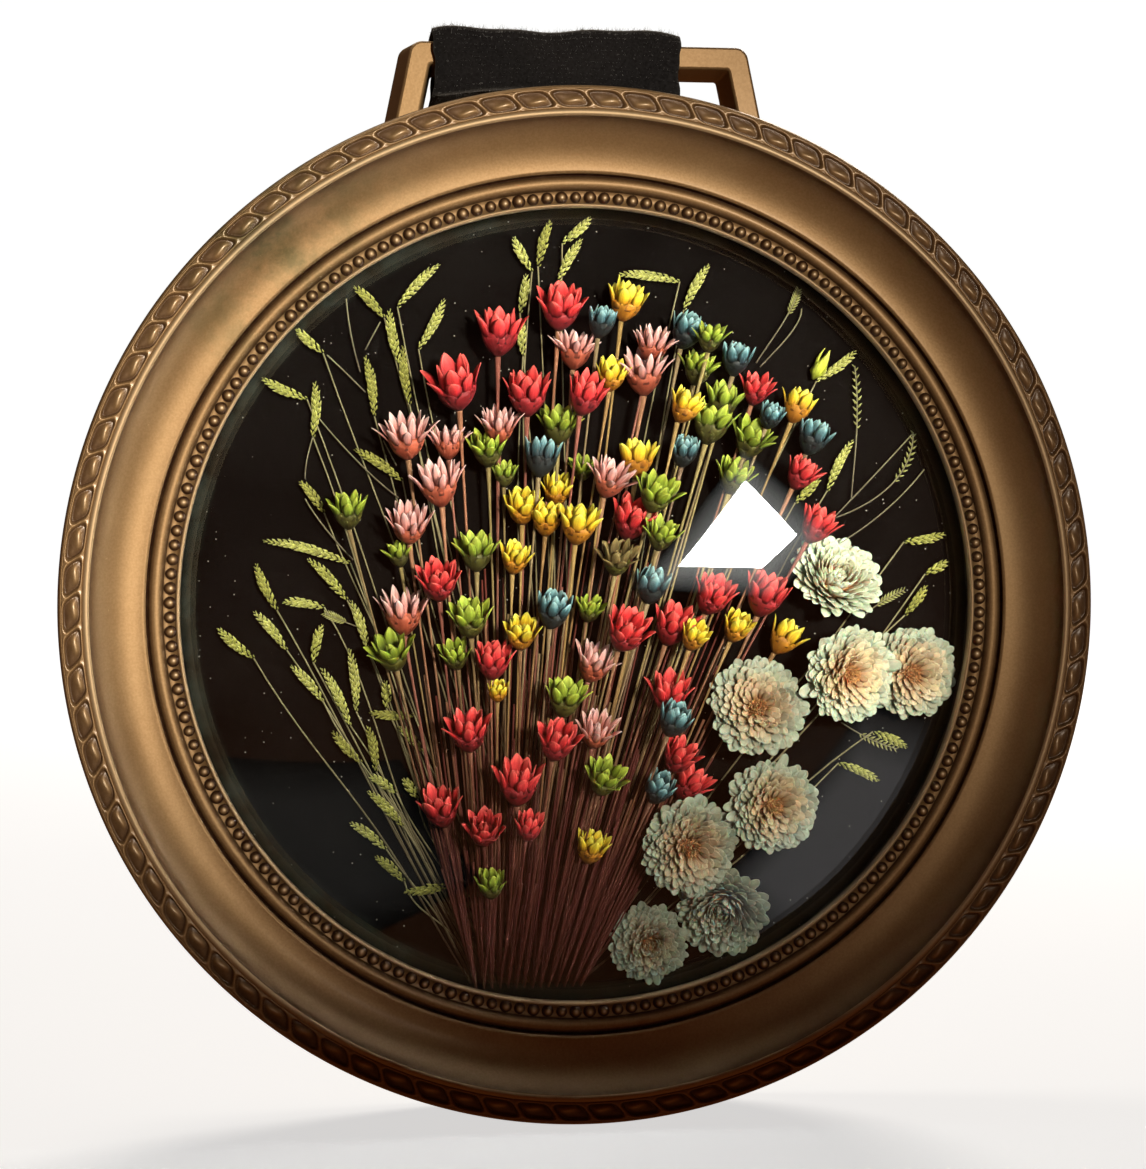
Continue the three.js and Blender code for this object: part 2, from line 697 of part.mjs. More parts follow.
// The flower moved forward, step by step, until it stands clear of the others. Returns whether it
// found such a place before it reached the glass.
function foundRoom(flower, others) {
  flower.girth = Math.hypot(flower.radius, flower.height / 4);
  for (let y = headBackY - flower.radius; ; y -= openingRadius * forwardStepShare) {
    flower.centre = placed(flower.x, flower.y, y);
    flower.direction = flower.centre.clone().sub(flower.base).normalize();
    flower.foot = flower.centre.clone().addScaledVector(flower.direction, -flower.height / 2);
    const outermost = Math.hypot(flower.centre.x, flower.centre.z) + flower.radius;
    if (y < glassInnerY(outermost) + flower.girth + clearance) return false;
    if (others.every((other) => standsClear(flower, other))) return true;
  }
}

// The longest flowers lie at the back and the shorter ones in front of them. A head that finds
// no room is made smaller and tried again.
function arrangedFlowers() {
  const done = [];
  for (const flower of starFlowers()) {
    for (let tries = 0; tries < shrinkTries && !foundRoom(flower, done); tries += 1) {
      flower.radius *= shrinkShare;
      flower.height *= shrinkShare;
    }
    done.push(flower);
  }
  return done;
}

// Stem and cup in one skin: the stem swells into the foot of the cup, and the cup is hollow
function starFlower({ base, foot, direction, radius, height }) {
  const along = (share) => foot.clone().addScaledVector(direction, height * share);
  return solidOf(lofted([
    ringAcross(base, direction, starStemRadius, headSides),
    ringAcross(foot, direction, starStemRadius, headSides),
    ...headRingShares.map(([out, up]) => ringAcross(along(up), direction, radius * out, headSides)),
    ringAcross(along(headHollowShare), direction, 0, headSides),
  ]));
}

function starflowerBunches() {
  const flowers = arrangedFlowers();
  const stripWidth = bundleWidth / bunchCount - clearance;
  return Array.from({ length: bunchCount }, (_, bunch) => {
    const mine = flowers.filter((flower) => flower.bunch === bunch);
    const depth = 2 * starStemRadius + (mine.length - 1) * starStemSpacing;
    const butt = new THREE.BoxGeometry(stripWidth, depth, buttHeight);
    butt.translate(mine[0].base.x, starBackY - depth / 2, buttZ);
    const look = material(headColours[mine[0].colour], 0.8);
    const bunchSolid = joined([solidOf(butt), ...mine.map(starFlower)]);
    return named(`starflower_bunch_${bunch + 1}`, geometryOf(bunchSolid), look);
  });
}

// Grasses

// In a spray the ears are in order of their angle at the fan's foot. Each stem lies on the velvet,
// side by side with the others at its butt, and lifts to its ear at the end.
function grassSprays() {
  const sprays = Object.entries(earPixels);
  const ears = sprays.flatMap(([spray, rows], group) => rows.map(([tipX, tipY, footX, footY]) => ({
    spray, group,
    tip: placed(tipX, tipY, grassEarY),
    foot: placed(footX, footY, grassEarY),
    angle: Math.atan2(footX - fanPixels.x, fanPixels.y - footY),
  })));
  ears.sort((a, b) => a.group - b.group || a.angle - b.angle);
  ears.forEach((ear, rank) => {
    const placeShare = (rank - (ears.length - 1) / 2) * grassSpacingShare
      + (ear.group - (sprays.length - 1) / 2) * sprayGapShare;
    ear.base = new THREE.Vector3(bundleX + openingRadius * placeShare, grassStemY, buttZ);
  });
  return sprays.map(([spray]) => {
    const mine = ears.filter((ear) => ear.spray === spray);
    const first = mine[0].base.x;
    const last = mine[mine.length - 1].base.x;
    const butt = new THREE.BoxGeometry(
      last - first + 2 * grassStemRadius, 2 * grassStemRadius, buttHeight);
    butt.translate((first + last) / 2, grassStemY, buttZ);
    const spraySolid = joined([solidOf(butt), ...mine.map(grassEar)]);
    return named(`grass_spray_${spray}`, geometryOf(spraySolid), driedGrass());
  });
}

function grassEar({ base, foot, tip }) {
  const lie = new THREE.Vector3(foot.x, grassStemY, foot.z).sub(base);
  const lift = base.clone().addScaledVector(lie, 1 - (openingRadius * stemRiseShare) / lie.length());
  const along = tip.clone().sub(foot).normalize();
  const belly = foot.clone().lerp(tip, earBellyShare);
  const run = lie.clone().normalize();
  return solidOf(lofted([
    ringAcross(base, run, grassStemRadius, earSides),
    ringAcross(lift, run, grassStemRadius, earSides),
    ringAcross(foot, along, grassStemRadius, earSides),
    ringAcross(belly, along, grassEarRadius, earSides),
    ringAcross(tip, along, 0, earSides),
  ]));
}

// Strawflowers

function strawFlowers() {
  const nearVelvetY = headBackY + grassEarRadius;
  const stubRadius = openingRadius * stubRadiusShare;
  return strawPixels.map(([x, y, size, stubShare, backShare, fillShare], i) => {
    const radius = openingRadius * strawRadiusShare * size;
    const onVelvet = placed(x, y, nearVelvetY);
    const room = nearVelvetY - glassInnerY(Math.hypot(onVelvet.x, onVelvet.z));
    const thickness = room * fillShare;
    const backY = nearVelvetY - room * backShare;
    const centre = placed(x, y, backY - thickness / 2);
    const head = turned(
      strawProfileShares.map(([out, up]) => [out * radius, up * thickness]), strawSides);
    head.rotateX(Math.PI);
    head.translate(centre.x, backY, centre.z);
    const stubBack = groundY - clearance;
    const stubFront = backY - thickness / 2;
    const stub = new THREE.CylinderGeometry(
      stubRadius, stubRadius, stubBack - stubFront, headSides);
    stub.translate(centre.x - stubShare * radius, (stubBack + stubFront) / 2, centre.z);
    return named(`strawflower_${i + 1}`, geometryOf(solidOf(head).add(solidOf(stub))), paleStraw());
  });
}

const domedFlowerFrame = new THREE.Group();
domedFlowerFrame.add(
  frameMoulding(),
  hangerLoop(),
  velvetRibbon(),
  domedGlass(),
  spacerRing(),
  velvetGround(),
  backingBoard(),
  ...backingTacks(),
  ...starflowerBunches(),
  ...grassSprays(),
  ...strawFlowers(),
);

export default domedFlowerFrame;
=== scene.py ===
# %% [markdown]
# # A domed dried flower frame
# A round moulded frame painted bronze-gold, a bulging glass, and under it a bouquet of dried
# flowers on black velvet. A loop at the top holds a folded velvet ribbon. The CAD model gives
# every piece its place. This lesson gives each one its real shape and its finish.

import math

import bmesh
import bpy
import numpy as np
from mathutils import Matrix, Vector


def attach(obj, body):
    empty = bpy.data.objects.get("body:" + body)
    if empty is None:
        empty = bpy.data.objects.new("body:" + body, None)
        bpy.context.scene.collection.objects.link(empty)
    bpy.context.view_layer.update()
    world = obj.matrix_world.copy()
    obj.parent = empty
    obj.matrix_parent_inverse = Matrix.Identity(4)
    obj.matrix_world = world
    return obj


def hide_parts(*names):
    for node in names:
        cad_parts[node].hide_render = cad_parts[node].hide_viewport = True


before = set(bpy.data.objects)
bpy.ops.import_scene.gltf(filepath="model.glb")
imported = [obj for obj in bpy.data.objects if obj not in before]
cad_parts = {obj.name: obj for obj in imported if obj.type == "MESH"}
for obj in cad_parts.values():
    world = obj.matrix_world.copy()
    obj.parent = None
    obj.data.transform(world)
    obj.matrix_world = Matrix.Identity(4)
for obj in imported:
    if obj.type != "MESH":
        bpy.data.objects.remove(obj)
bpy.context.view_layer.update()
MM = 0.001
TURN = 2 * math.pi
SEED = 7
random = np.random.default_rng(SEED)

# %% [markdown]
# Every new piece of the object is made of tubes: rings of points, one after the other, with a flat
# cap on the first and the last. A petal is a flat tube, a stem a thin one, and the glass a very
# wide one that turns back inside itself. The moulding is a hoop, a tube whose ends meet. So one
# function makes the faces for all of them, for any number of tubes at once.

# %% Tubes, hoops and meshes
def ring_faces(rows, columns, closed=False):
    """Quads between the rings of one tube, whose points are numbered ring by ring."""
    row, column = np.meshgrid(np.arange(rows if closed else rows - 1), np.arange(columns), indexing="ij")
    after, beside = (row + 1) % rows, (column + 1) % columns
    corners = (row * columns + column, row * columns + beside,
               after * columns + beside, after * columns + column)
    return np.stack(corners, -1).reshape(-1, 4)


def tubes(rings, dye=None):
    """Closed tubes from rings of shape (tubes, rings, points, 3). u runs round and v along each."""
    count, rows, columns, _ = rings.shape
    starts = np.arange(count)[:, None, None] * rows * columns
    quads = (ring_faces(rows, columns)[None] + starts).reshape(-1, 4)
    first = (np.arange(columns)[::-1][None, None] + starts).reshape(-1, columns)
    last = (np.arange(columns)[None, None] + (rows - 1) * columns + starts).reshape(-1, columns)
    u = np.broadcast_to(np.linspace(0, 1, columns), (count, rows, columns))
    v = np.broadcast_to(np.linspace(0, 1, rows)[:, None], (count, rows, columns))
    return {"points": rings.reshape(-1, 3), "faces": [quads, first, last],
            "uv": np.stack([u, v], -1).reshape(-1, 2), "dye": dye}


def hoop(rings, dye=None):
    """A tube bent round so that its last ring meets its first, as a torus does."""
    rows, columns, _ = rings.shape
    u, v = np.meshgrid(np.linspace(0, 1, columns), np.linspace(0, 1, rows))
    return {"points": rings.reshape(-1, 3), "faces": [ring_faces(rows, columns, True)],
            "uv": np.stack([u, v], -1).reshape(-1, 2), "dye": dye}


def piece(name, parts, materials, indices=None):
    """One mesh object from several tubes or hoops, in millimetres, its normals turned outwards."""
    faces, slots, start = [], [], 0
    for i, part in enumerate(parts):
        for group in part["faces"]:
            faces.extend((group + start).tolist())
            slots.extend([indices[i] if indices else 0] * len(group))
        start += len(part["points"])
    mesh = bpy.data.meshes.new(name)
    mesh.from_pydata(np.concatenate([p["points"] for p in parts]) * MM, [], faces)
    mesh.polygons.foreach_set("material_index", np.array(slots, dtype=np.int32))
    mesh.polygons.foreach_set("use_smooth", np.ones(len(faces), dtype=bool))
    uv = np.concatenate([p["uv"] for p in parts])
    corners = np.empty(len(mesh.loops), dtype=np.int32)
    mesh.loops.foreach_get("vertex_index", corners)
    mesh.uv_layers.new(name="UVMap").data.foreach_set("uv", uv[corners].ravel())
    if parts[0]["dye"] is not None:
        colours = np.concatenate([p["dye"] for p in parts])
        colours = np.concatenate([colours, np.ones((len(colours), 1))], 1)
        mesh.color_attributes.new("dye", "FLOAT_COLOR", "POINT").data.foreach_set("color", colours.ravel())
    for material in materials:
        mesh.materials.append(material)
    shell = bmesh.new()
    shell.from_mesh(mesh)
    bmesh.ops.recalc_face_normals(shell, faces=shell.faces)
    shell.to_mesh(mesh)
    shell.free()
    made = bpy.data.objects.new(name, mesh)
    bpy.context.scene.collection.objects.link(made)
    print(f"{name}: {sum(len(f.vertices) - 2 for f in mesh.polygons)} triangles")
    return made


LEAST_LENGTH = 1e-9


def unit(v):
    """Each vector divided by its length."""
    return v / np.maximum(np.linalg.norm(v, axis=-1, keepdims=True), LEAST_LENGTH)


def ease(t):
    """A smooth step: 0 at 0, 1 at 1, level at both ends."""
    t = np.clip(t, 0, 1)
    return t * t * (3 - 2 * t)

# %% [markdown]
# Colours are written as sRGB hex values, as a paint chart gives them, and turned to the linear
# values that the renderer adds up. A material is a node tree, and one small function adds a node.

# %% Colours and nodes
def colour(hex_value):
    """Linear red, green and blue of an sRGB hex value, by the sRGB standard's formula."""
    srgb = np.array([hex_value >> 16 & 255, hex_value >> 8 & 255, hex_value & 255]) / 255
    return np.where(srgb <= 0.04045, srgb / 12.92, ((srgb + 0.055) / 1.055) ** 2.4)


def rgba(hex_value):
    """The same with an alpha of 1, as sockets take it."""
    return (*colour(hex_value), 1)


def node(tree, kind, settings=None, **inputs):
    """Adds a node, sets its own settings, and links or sets its inputs by name or number."""
    made = tree.nodes.new(kind)
    for key, value in (settings or {}).items():
        setattr(made, key, value)
    for key, value in inputs.items():
        socket = made.inputs[int(key[1:]) if key[1:].isdigit() else key.replace("_", " ")]
        if isinstance(value, bpy.types.NodeSocket):
            tree.links.new(value, socket)
        else:
            socket.default_value = value
    return made


def new_material(name, **sockets):
    """A material with one Principled shader. Plain values go straight on its sockets."""
    made = bpy.data.materials.new(name)
    made.use_nodes = True
    shader = made.node_tree.nodes["Principled BSDF"]
    for key, value in sockets.items():
        shader.inputs[key.replace("_", " ")].default_value = value
    return made, made.node_tree, shader


def noise(tree, vector, size, detail=4, roughness=0.5):
    """Noise whose features are a size in millimetres."""
    return node(tree, "ShaderNodeTexNoise", Vector=vector, Scale=1 / (size * MM), Detail=detail,
                Roughness=roughness).outputs["Fac"]


def ramp(tree, fac, stops):
    """A colour ramp from a list of (position, hex)."""
    made = node(tree, "ShaderNodeValToRGB", Fac=fac)
    first, last = made.color_ramp.elements
    first.position, first.color = stops[0][0], rgba(stops[0][1])
    last.position, last.color = stops[-1][0], rgba(stops[-1][1])
    for position, hex_value in stops[1:-1]:
        made.color_ramp.elements.new(position).color = rgba(hex_value)
    return made.outputs["Color"]


def mix(tree, fac, a, b, blend="MIX"):
    """Two colours mixed by a factor."""
    return node(tree, "ShaderNodeMix", {"data_type": "RGBA", "blend_type": blend},
                _0=fac, _6=a, _7=b).outputs[2]


def maths(tree, operation, a, b=0.0, clamp=False):
    """One operation on two numbers or sockets, its result kept from 0 to 1 if clamp is set."""
    return node(tree, "ShaderNodeMath", {"operation": operation, "use_clamp": clamp}, _0=a, _1=b).outputs[0]


def bump(tree, height, depth):
    """A bump as deep in millimetres where the height is 1."""
    return node(tree, "ShaderNodeBump", Height=height, Distance=depth * MM, Strength=1.0).outputs["Normal"]


def object_coordinates(tree):
    """Where a point of the piece is, in metres."""
    return node(tree, "ShaderNodeTexCoord").outputs["Object"]

# %% [markdown]
# ## The picture's viewpoint
# The camera stands where the photograph was taken from: 46 cm in front, a little to the left and a
# little above. A point of the picture is then a line of sight, and a depth picks a point on it.
# Lengths are in millimetres until a mesh is made.

# %% Camera
OPENING_RADIUS = 80.15
GROOVE_Y = -16.7
# Both in opening radii, from the middle of the groove's plane
EYE = np.array([-0.696, -5.78, 0.305]) * OPENING_RADIUS + [0, GROOVE_Y, 0]
TARGET = np.array([-0.038, -0.115, 0.063]) * OPENING_RADIUS + [0, GROOVE_Y, 0]
FOCAL_PIXELS = 2320
PICTURE = (1146, 1169)
SENSOR = 36
AHEAD = unit(TARGET - EYE)
RIGHT = unit(np.cross(AHEAD, [0, 0, 1]))
UP = np.cross(RIGHT, AHEAD)

camera_data = bpy.data.cameras.new("camera")
camera_data.sensor_width = SENSOR
camera_data.lens = SENSOR * FOCAL_PIXELS / PICTURE[1]
camera_data.clip_start = 0.01
camera = bpy.data.objects.new("camera", camera_data)
camera.location = Vector(EYE * MM)
camera.rotation_euler = Vector(AHEAD).to_track_quat("-Z", "Y").to_euler()
bpy.context.scene.collection.objects.link(camera)
bpy.context.scene.camera = camera
print("lens", round(camera_data.lens, 2), "mm")


def sight(x, y):
    """Direction of the line of sight through a pixel of the picture."""
    return unit(AHEAD * FOCAL_PIXELS + RIGHT * (x - PICTURE[0] / 2) + UP * (PICTURE[1] / 2 - y))


def placed(x, y, depth):
    """Where that line meets the plane at a depth."""
    line = sight(x, y)
    return EYE + line * (depth - EYE[1]) / line[1]

# %% [markdown]
# ## Light
# The photograph was taken in a dim room with one bright window, which shows as a white patch on the
# glass. The mirror law says where that window stands: the line of sight is turned back at the
# glass, and the patch's four corners give the window's four corners. A fainter pane behind it gives
# the haze of the dust on the glass, and two soft ones give the pale walls that show low down.

# %% What shows on the glass
GLASS_RADIUS = 178.6
GLASS_CENTRE = np.array([0, 145.0, 0])
WINDOW_DISTANCE, HAZE_DISTANCE = 900, 940
# Corners of each patch in the picture
WINDOW = [(745, 480), (797, 535), (762, 568), (678, 567)]
HAZE = [(743, 447), (834, 534), (775, 599), (634, 589)]
RIGHT_WALL = [(868, 700), (945, 725), (925, 820), (860, 905), (765, 965), (700, 900), (790, 800)]
LEFT_WALL = [(175, 750), (400, 760), (480, 880), (330, 950), (170, 860)]
glass_only = bpy.data.collections.new("glass_only")


def mirrored(x, y, distance):
    """Where the line of sight that the glass turns back is after a distance."""
    line = sight(x, y)
    to_eye = EYE - GLASS_CENTRE
    half = to_eye @ line
    hit = EYE + line * (-half - math.sqrt(half ** 2 - to_eye @ to_eye + GLASS_RADIUS ** 2))
    normal = unit(hit - GLASS_CENTRE)
    return hit + (line - 2 * (line @ normal) * normal) * distance


def glowing(name, patch, strength, hex_value, soft=False, distance=WINDOW_DISTANCE):
    """A flat lamp that shows on the glass as a patch of the picture with these corners. A soft one
    fades from its middle to its rim."""
    corners = np.array([mirrored(*corner, distance) for corner in patch])
    points = np.concatenate([corners.mean(0, keepdims=True), corners]) * MM
    rim = np.arange(len(patch))
    faces = np.stack([0 * rim, rim + 1, (rim + 1) % len(patch) + 1], 1)
    mesh = bpy.data.meshes.new(name)
    mesh.from_pydata(points, [], faces.tolist())
    shares = np.ones((len(points), 4))
    shares[1:, :3] = 0 if soft else 1
    mesh.color_attributes.new("dye", "FLOAT_COLOR", "POINT").data.foreach_set("color", shares.ravel())
    material = bpy.data.materials.new(name)
    material.use_nodes = True
    tree = material.node_tree
    tree.nodes.clear()
    share = node(tree, "ShaderNodeVertexColor", {"layer_name": "dye"}).outputs["Color"]
    risen = ramp(tree, share, [(0.0, 0x000000), (0.45, 0xFFFFFF)])
    shade = mix(tree, 1.0, risen, rgba(hex_value), "MULTIPLY")
    glow = node(tree, "ShaderNodeEmission", Color=shade, Strength=strength)
    node(tree, "ShaderNodeOutputMaterial", Surface=glow.outputs[0])
    mesh.materials.append(material)
    pane = bpy.data.objects.new(name, mesh)
    pane.visible_camera = False
    pane.light_linking.receiver_collection = glass_only
    bpy.context.scene.collection.objects.link(pane)


print("window at", np.round(np.mean([mirrored(*corner, WINDOW_DISTANCE) for corner in WINDOW], 0)), "mm")
glowing("window_glow", WINDOW, 120, 0xFFFFFF)
glowing("window_haze", HAZE, 2.2, 0xFFFFFA, True, HAZE_DISTANCE)
glowing("right_wall", RIGHT_WALL, 0.6, 0xE2DEDF, True)
glowing("left_wall", LEFT_WALL, 0.12, 0xE6E2DC, True)

# %% [markdown]
# Two spot lamps stand in one place to the right of the camera. One lights the frame and is aimed at
# its left, which is the brightest. The other lights the rest evenly. A flag, a board that blocks
# light, keeps the lower third in shade. A weak lamp above lights the frame's upper edge, and one
# behind lights the back when the piece is turned. Light linking says what each lamp falls on: none
# of these four shines on the glass, where its mirror image would cover the flowers.

# %% Lamps and flag
all_but_glass = bpy.data.collections.new("all_but_glass")
frame_only = bpy.data.collections.new("frame_only")
all_but_frame = bpy.data.collections.new("all_but_frame")


def shut_out(collection, made):
    """Keeps an object out of the light of the lamps that are linked to the collection."""
    collection.objects.link(made)
    collection.collection_objects[-1].light_linking.link_state = "EXCLUDE"


def lit_as_frame(made):
    """Puts an object in the light of frame_key and out of flower_key's."""
    frame_only.objects.link(made)
    shut_out(all_but_frame, made)


def lamp(name, kind, at, aim, watts, hex_value, receivers, **settings):
    """A lamp that shines on what its collection of receivers says."""
    data = bpy.data.lights.new(name, kind)
    data.energy = watts
    data.color = tuple(colour(hex_value))
    for key, value in settings.items():
        setattr(data, key, value)
    made = bpy.data.objects.new(name, data)
    made.location = at
    made.rotation_euler = (Vector(aim) - Vector(at)).to_track_quat("-Z", "Y").to_euler()
    made.light_linking.receiver_collection = receivers
    bpy.context.scene.collection.objects.link(made)


def key_lamp(name, aim, watts, hex_value, receivers, width):
    """One of the two spot lamps, with a cone that is a width in degrees."""
    lamp(name, "SPOT", KEY, aim, watts, hex_value, receivers, spot_size=math.radians(width), spot_blend=1.0,
         shadow_soft_size=0.05)


# Places in metres
KEY = (0.2, -0.9, 0.15)
key_lamp("frame_key", (-0.14, 0, -0.015), 27, 0xFFF0DC, frame_only, 33)
key_lamp("flower_key", (0.02, 0, 0.04), 76, 0xFFF2E2, all_but_frame, 30)
lamp("top_lamp", "AREA", (-0.14, 0.12, 0.45), (0, 0, 0.09), 0.3, 0xFFF4E6, all_but_glass,
     shape="DISK", size=0.2)
lamp("back_lamp", "AREA", (0.5, 0.9, 0.8), (0, 0, 0), 6.0, 0xFFF8F0, all_but_glass,
     shape="DISK", size=0.5)


def plain_quad(name, corners):
    """An object of one flat face."""
    mesh = bpy.data.meshes.new(name)
    mesh.from_pydata(corners, [], [(0, 1, 2, 3)])
    made = bpy.data.objects.new(name, mesh)
    bpy.context.scene.collection.objects.link(made)
    return made


# The flag's top edge is half-way between the lamps and the piece
FLAG_Y, FLAG_TOP, FLAG_FOOT = -0.45, 0.0525, -0.8
FLAG_LEFT, FLAG_RIGHT = -0.6, 0.8
flag = plain_quad("flag", [(FLAG_LEFT, FLAG_Y, FLAG_FOOT), (FLAG_RIGHT, FLAG_Y, FLAG_FOOT),
                           (FLAG_RIGHT, FLAG_Y, FLAG_TOP), (FLAG_LEFT, FLAG_Y, FLAG_TOP)])
for sort in ("camera", "diffuse", "glossy", "transmission"):
    setattr(flag, f"visible_{sort}", False)

# %% [markdown]
# The camera sees a pale room, as in the picture's cut-out ground. What the paint and the glass
# mirror is another room, a dim brown one, darker above than below.

# %% Room
FAR_PALE = 1.1
world = bpy.data.worlds.new("room")
world.use_nodes = True
bpy.context.scene.world = world
tree = world.node_tree
tree.nodes.clear()
way = node(tree, "ShaderNodeTexCoord").outputs["Generated"]
direction = node(tree, "ShaderNodeSeparateXYZ", Vector=way)
height = maths(tree, "ADD", maths(tree, "MULTIPLY", direction.outputs[2], 0.5), 0.5)
walls = ramp(tree, height, [(0.2, 0x965A34), (0.5, 0x683418), (0.8, 0x421C0B), (1.0, 0x321206)])
dim = node(tree, "ShaderNodeBackground", Color=walls, Strength=0.3)
pale = node(tree, "ShaderNodeBackground", Color=rgba(0xF6F6F5), Strength=FAR_PALE)
seen = node(tree, "ShaderNodeLightPath").outputs["Is Camera Ray"]
both = node(tree, "ShaderNodeMixShader", _0=seen, _1=dim.outputs[0], _2=pale.outputs[0])
node(tree, "ShaderNodeOutputWorld", Surface=both.outputs[0])
bpy.context.scene.view_settings.view_transform = "Standard"

# %% Pale floor
floor_material, tree, shader = new_material("pale_floor_paint", Roughness=0.9)
shader.inputs["Emission Color"].default_value = rgba(0xF6F6F5)
coordinates = object_coordinates(tree)
tree.links.new(ramp(tree, noise(tree, coordinates, 333), [(0.3, 0xF0F0EF), (0.7, 0xF6F6F5)]),
               shader.inputs["Base Color"])
distance = node(tree, "ShaderNodeVectorMath", {"operation": "LENGTH"}, _0=coordinates).outputs["Value"]
# Near the piece the floor's glow is dimmer, a painted shade round it in which its shadow shows, and from 1.6
# m on it is as pale as the room
paling = node(tree, "ShaderNodeMapRange", {"interpolation_type": "SMOOTHSTEP"}, Value=distance,
              _1=0.1, _2=1.6, _3=0.7, _4=FAR_PALE)
tree.links.new(paling.outputs[0], shader.inputs["Emission Strength"])
FLOOR_Z, FLOOR_REACH = -0.1039, 9
floor = plain_quad("pale_floor", [(x * FLOOR_REACH, y * FLOOR_REACH, FLOOR_Z)
                                  for x, y in [(-1, -1), (1, -1), (1, 1), (-1, 1)]])
floor.data.materials.append(floor_material)
for sort in ("diffuse", "glossy", "transmission"):
    setattr(floor, f"visible_{sort}", False)
shut_out(all_but_frame, floor)

# %% [markdown]
# ## Bronze-gold paint on cast resin
# A metallic paint: fine flakes in a clear binder, so it is half metal, with a broad satin gloss. A dark glaze
# was wiped off the raised places and stayed in the hollows. Shade is painted there too, and on flanks that
# turn from the light, so every point of the casting carries a share of glaze and painted shade. A share below
# 0 lightens the paint: a painted highlight on the crest, the lip, the rope's creases and the pearls' tips.
# Green tarnish shows at the upper left. The real grain is about 0.2 mm across. It is drawn twice as coarse so
# that it shows, and the paint's clouds are centimetres across.

# %% Paint
paint, tree, shader = new_material("bronze_gold_paint", Metallic=0.5, Coat_Weight=0.12, Coat_Roughness=0.2)
coordinates = object_coordinates(tree)
clouds = noise(tree, coordinates, 28.57, 6, 0.6)
grain = noise(tree, coordinates, 0.4545, 2)
specks = noise(tree, coordinates, 2.381, 3, 0.7)
base = ramp(tree, clouds, [(0.25, 0xAD8A5B), (0.5, 0xBA9868), (0.75, 0xC6A575)])
grainy = mix(tree, 0.10, base, ramp(tree, grain, [(0.35, 0x6A4C34), (0.65, 0xE4C6A0)]))
# Middle and reach of the tarnished patch, in metres
TARNISH_AT, TARNISH_REACH = (-0.062, -0.022, 0.073), 0.036
from_spot = node(tree, "ShaderNodeVectorMath", {"operation": "DISTANCE"}, _0=coordinates,
                 _1=TARNISH_AT).outputs["Value"]
near_spot = maths(tree, "SUBTRACT", 1.0, maths(tree, "DIVIDE", from_spot, TARNISH_REACH), True)
patchy = ramp(tree, noise(tree, coordinates, 8.333, 5, 0.65), [(0.40, 0x000000), (0.62, 0xFFFFFF)])
tarnish = maths(tree, "MULTIPLY", near_spot, patchy)
tarnished = mix(tree, maths(tree, "MULTIPLY", tarnish, 0.75), grainy, rgba(0x55603A))
glaze_and_painted_light = node(tree, "ShaderNodeSeparateColor",
             Color=node(tree, "ShaderNodeVertexColor", {"layer_name": "dye"}).outputs["Color"]).outputs[0]
uneven = maths(tree, "MULTIPLY", glaze_and_painted_light, maths(tree, "ADD", 0.7, maths(tree, "MULTIPLY", specks, 0.6)), True)
# Dark glaze and painted shade where the share is above 0
darkened = mix(tree, uneven, tarnished, rgba(0x442410))
# Where the share is below 0 the paint turns light: a painted highlight
painted_highlight = mix(tree, maths(tree, "MULTIPLY", glaze_and_painted_light, -1.0, True), darkened, rgba(0xF2DCB4))
chips = ramp(tree, specks, [(0.74, 0x000000), (0.77, 0xFFFFFF)])
chipped = mix(tree, maths(tree, "MULTIPLY", chips, 0.5), painted_highlight, rgba(0xE0C496))
tree.links.new(chipped, shader.inputs["Base Color"])
rough = maths(tree, "ADD", 0.42, maths(tree, "MULTIPLY", clouds, 0.14))
tree.links.new(maths(tree, "ADD", rough, maths(tree, "MULTIPLY", uneven, 0.12)), shader.inputs["Roughness"])
tree.links.new(bump(tree, maths(tree, "ADD", grain, clouds), 0.02), shader.inputs["Normal"])

# The same paint where the glaze lay thick and dried with a gloss: on the rope and the pearls
glossy_paint = paint.copy()
glossy_paint.name = "bronze_gold_paint_glossy"
shader = glossy_paint.node_tree.nodes["Principled BSDF"]
shader.inputs["Coat Weight"].default_value = 1.0
shader.inputs["Coat Roughness"].default_value = 0.27

# %% [markdown]
# ## The moulding
# Its section is drawn once and turned round the axis: a rounded outer edge, a channel for the rope
# band, a thin crest, the deep cove, a groove, a bead, the flat under the pearls and the lip. Arcs
# are quarter and half ellipses, so their two half-widths are all they need.

# %% Moulding
FRONT_Y = -26.0
LEDGE_Y = FRONT_Y + 0.3
BACK_RADIUS = 103.7
ROPE_INNER, ROPE_OUTER, ROPE_FLOOR_Y = 98.35, 102.25, -24.2
COVE_FOOT, COVE_WIDTH, COVE_DEPTH, COVE_STEPS = 86.7, 10.2, 7.3, 26
BEAD_RADIUS, BEAD_HALF_WIDTH, BEAD_HEIGHT = 84.9, 1.45, 1.25
FLAT_Y = GROOVE_Y + 0.15
GLASS_SEAT_Y = -14.9
POCKET_RADIUS, BOARD_POCKET_RADIUS, BOARD_SEAT_Y = 83.6, 91, -3.3
CASTING_COLUMNS = 480


def arc(centre_r, centre_y, half_r, half_y, start, end, steps):
    """Points of an ellipse between two angles: 0 points outwards, a quarter turn to the front."""
    angle = np.linspace(math.radians(start), math.radians(end), steps)
    return np.stack([centre_r + half_r * np.cos(angle), centre_y - half_y * np.sin(angle)], 1)


def turned_rings(profile, columns):
    """Each profile point (r, y) carried round the axis, as a ring in the X-Z plane."""
    angle = np.linspace(0, TURN, columns, endpoint=False)
    r, y = profile[:, 0, None], profile[:, 1, None]
    return np.stack([r * np.cos(angle), y + 0 * angle, r * np.sin(angle)], -1)


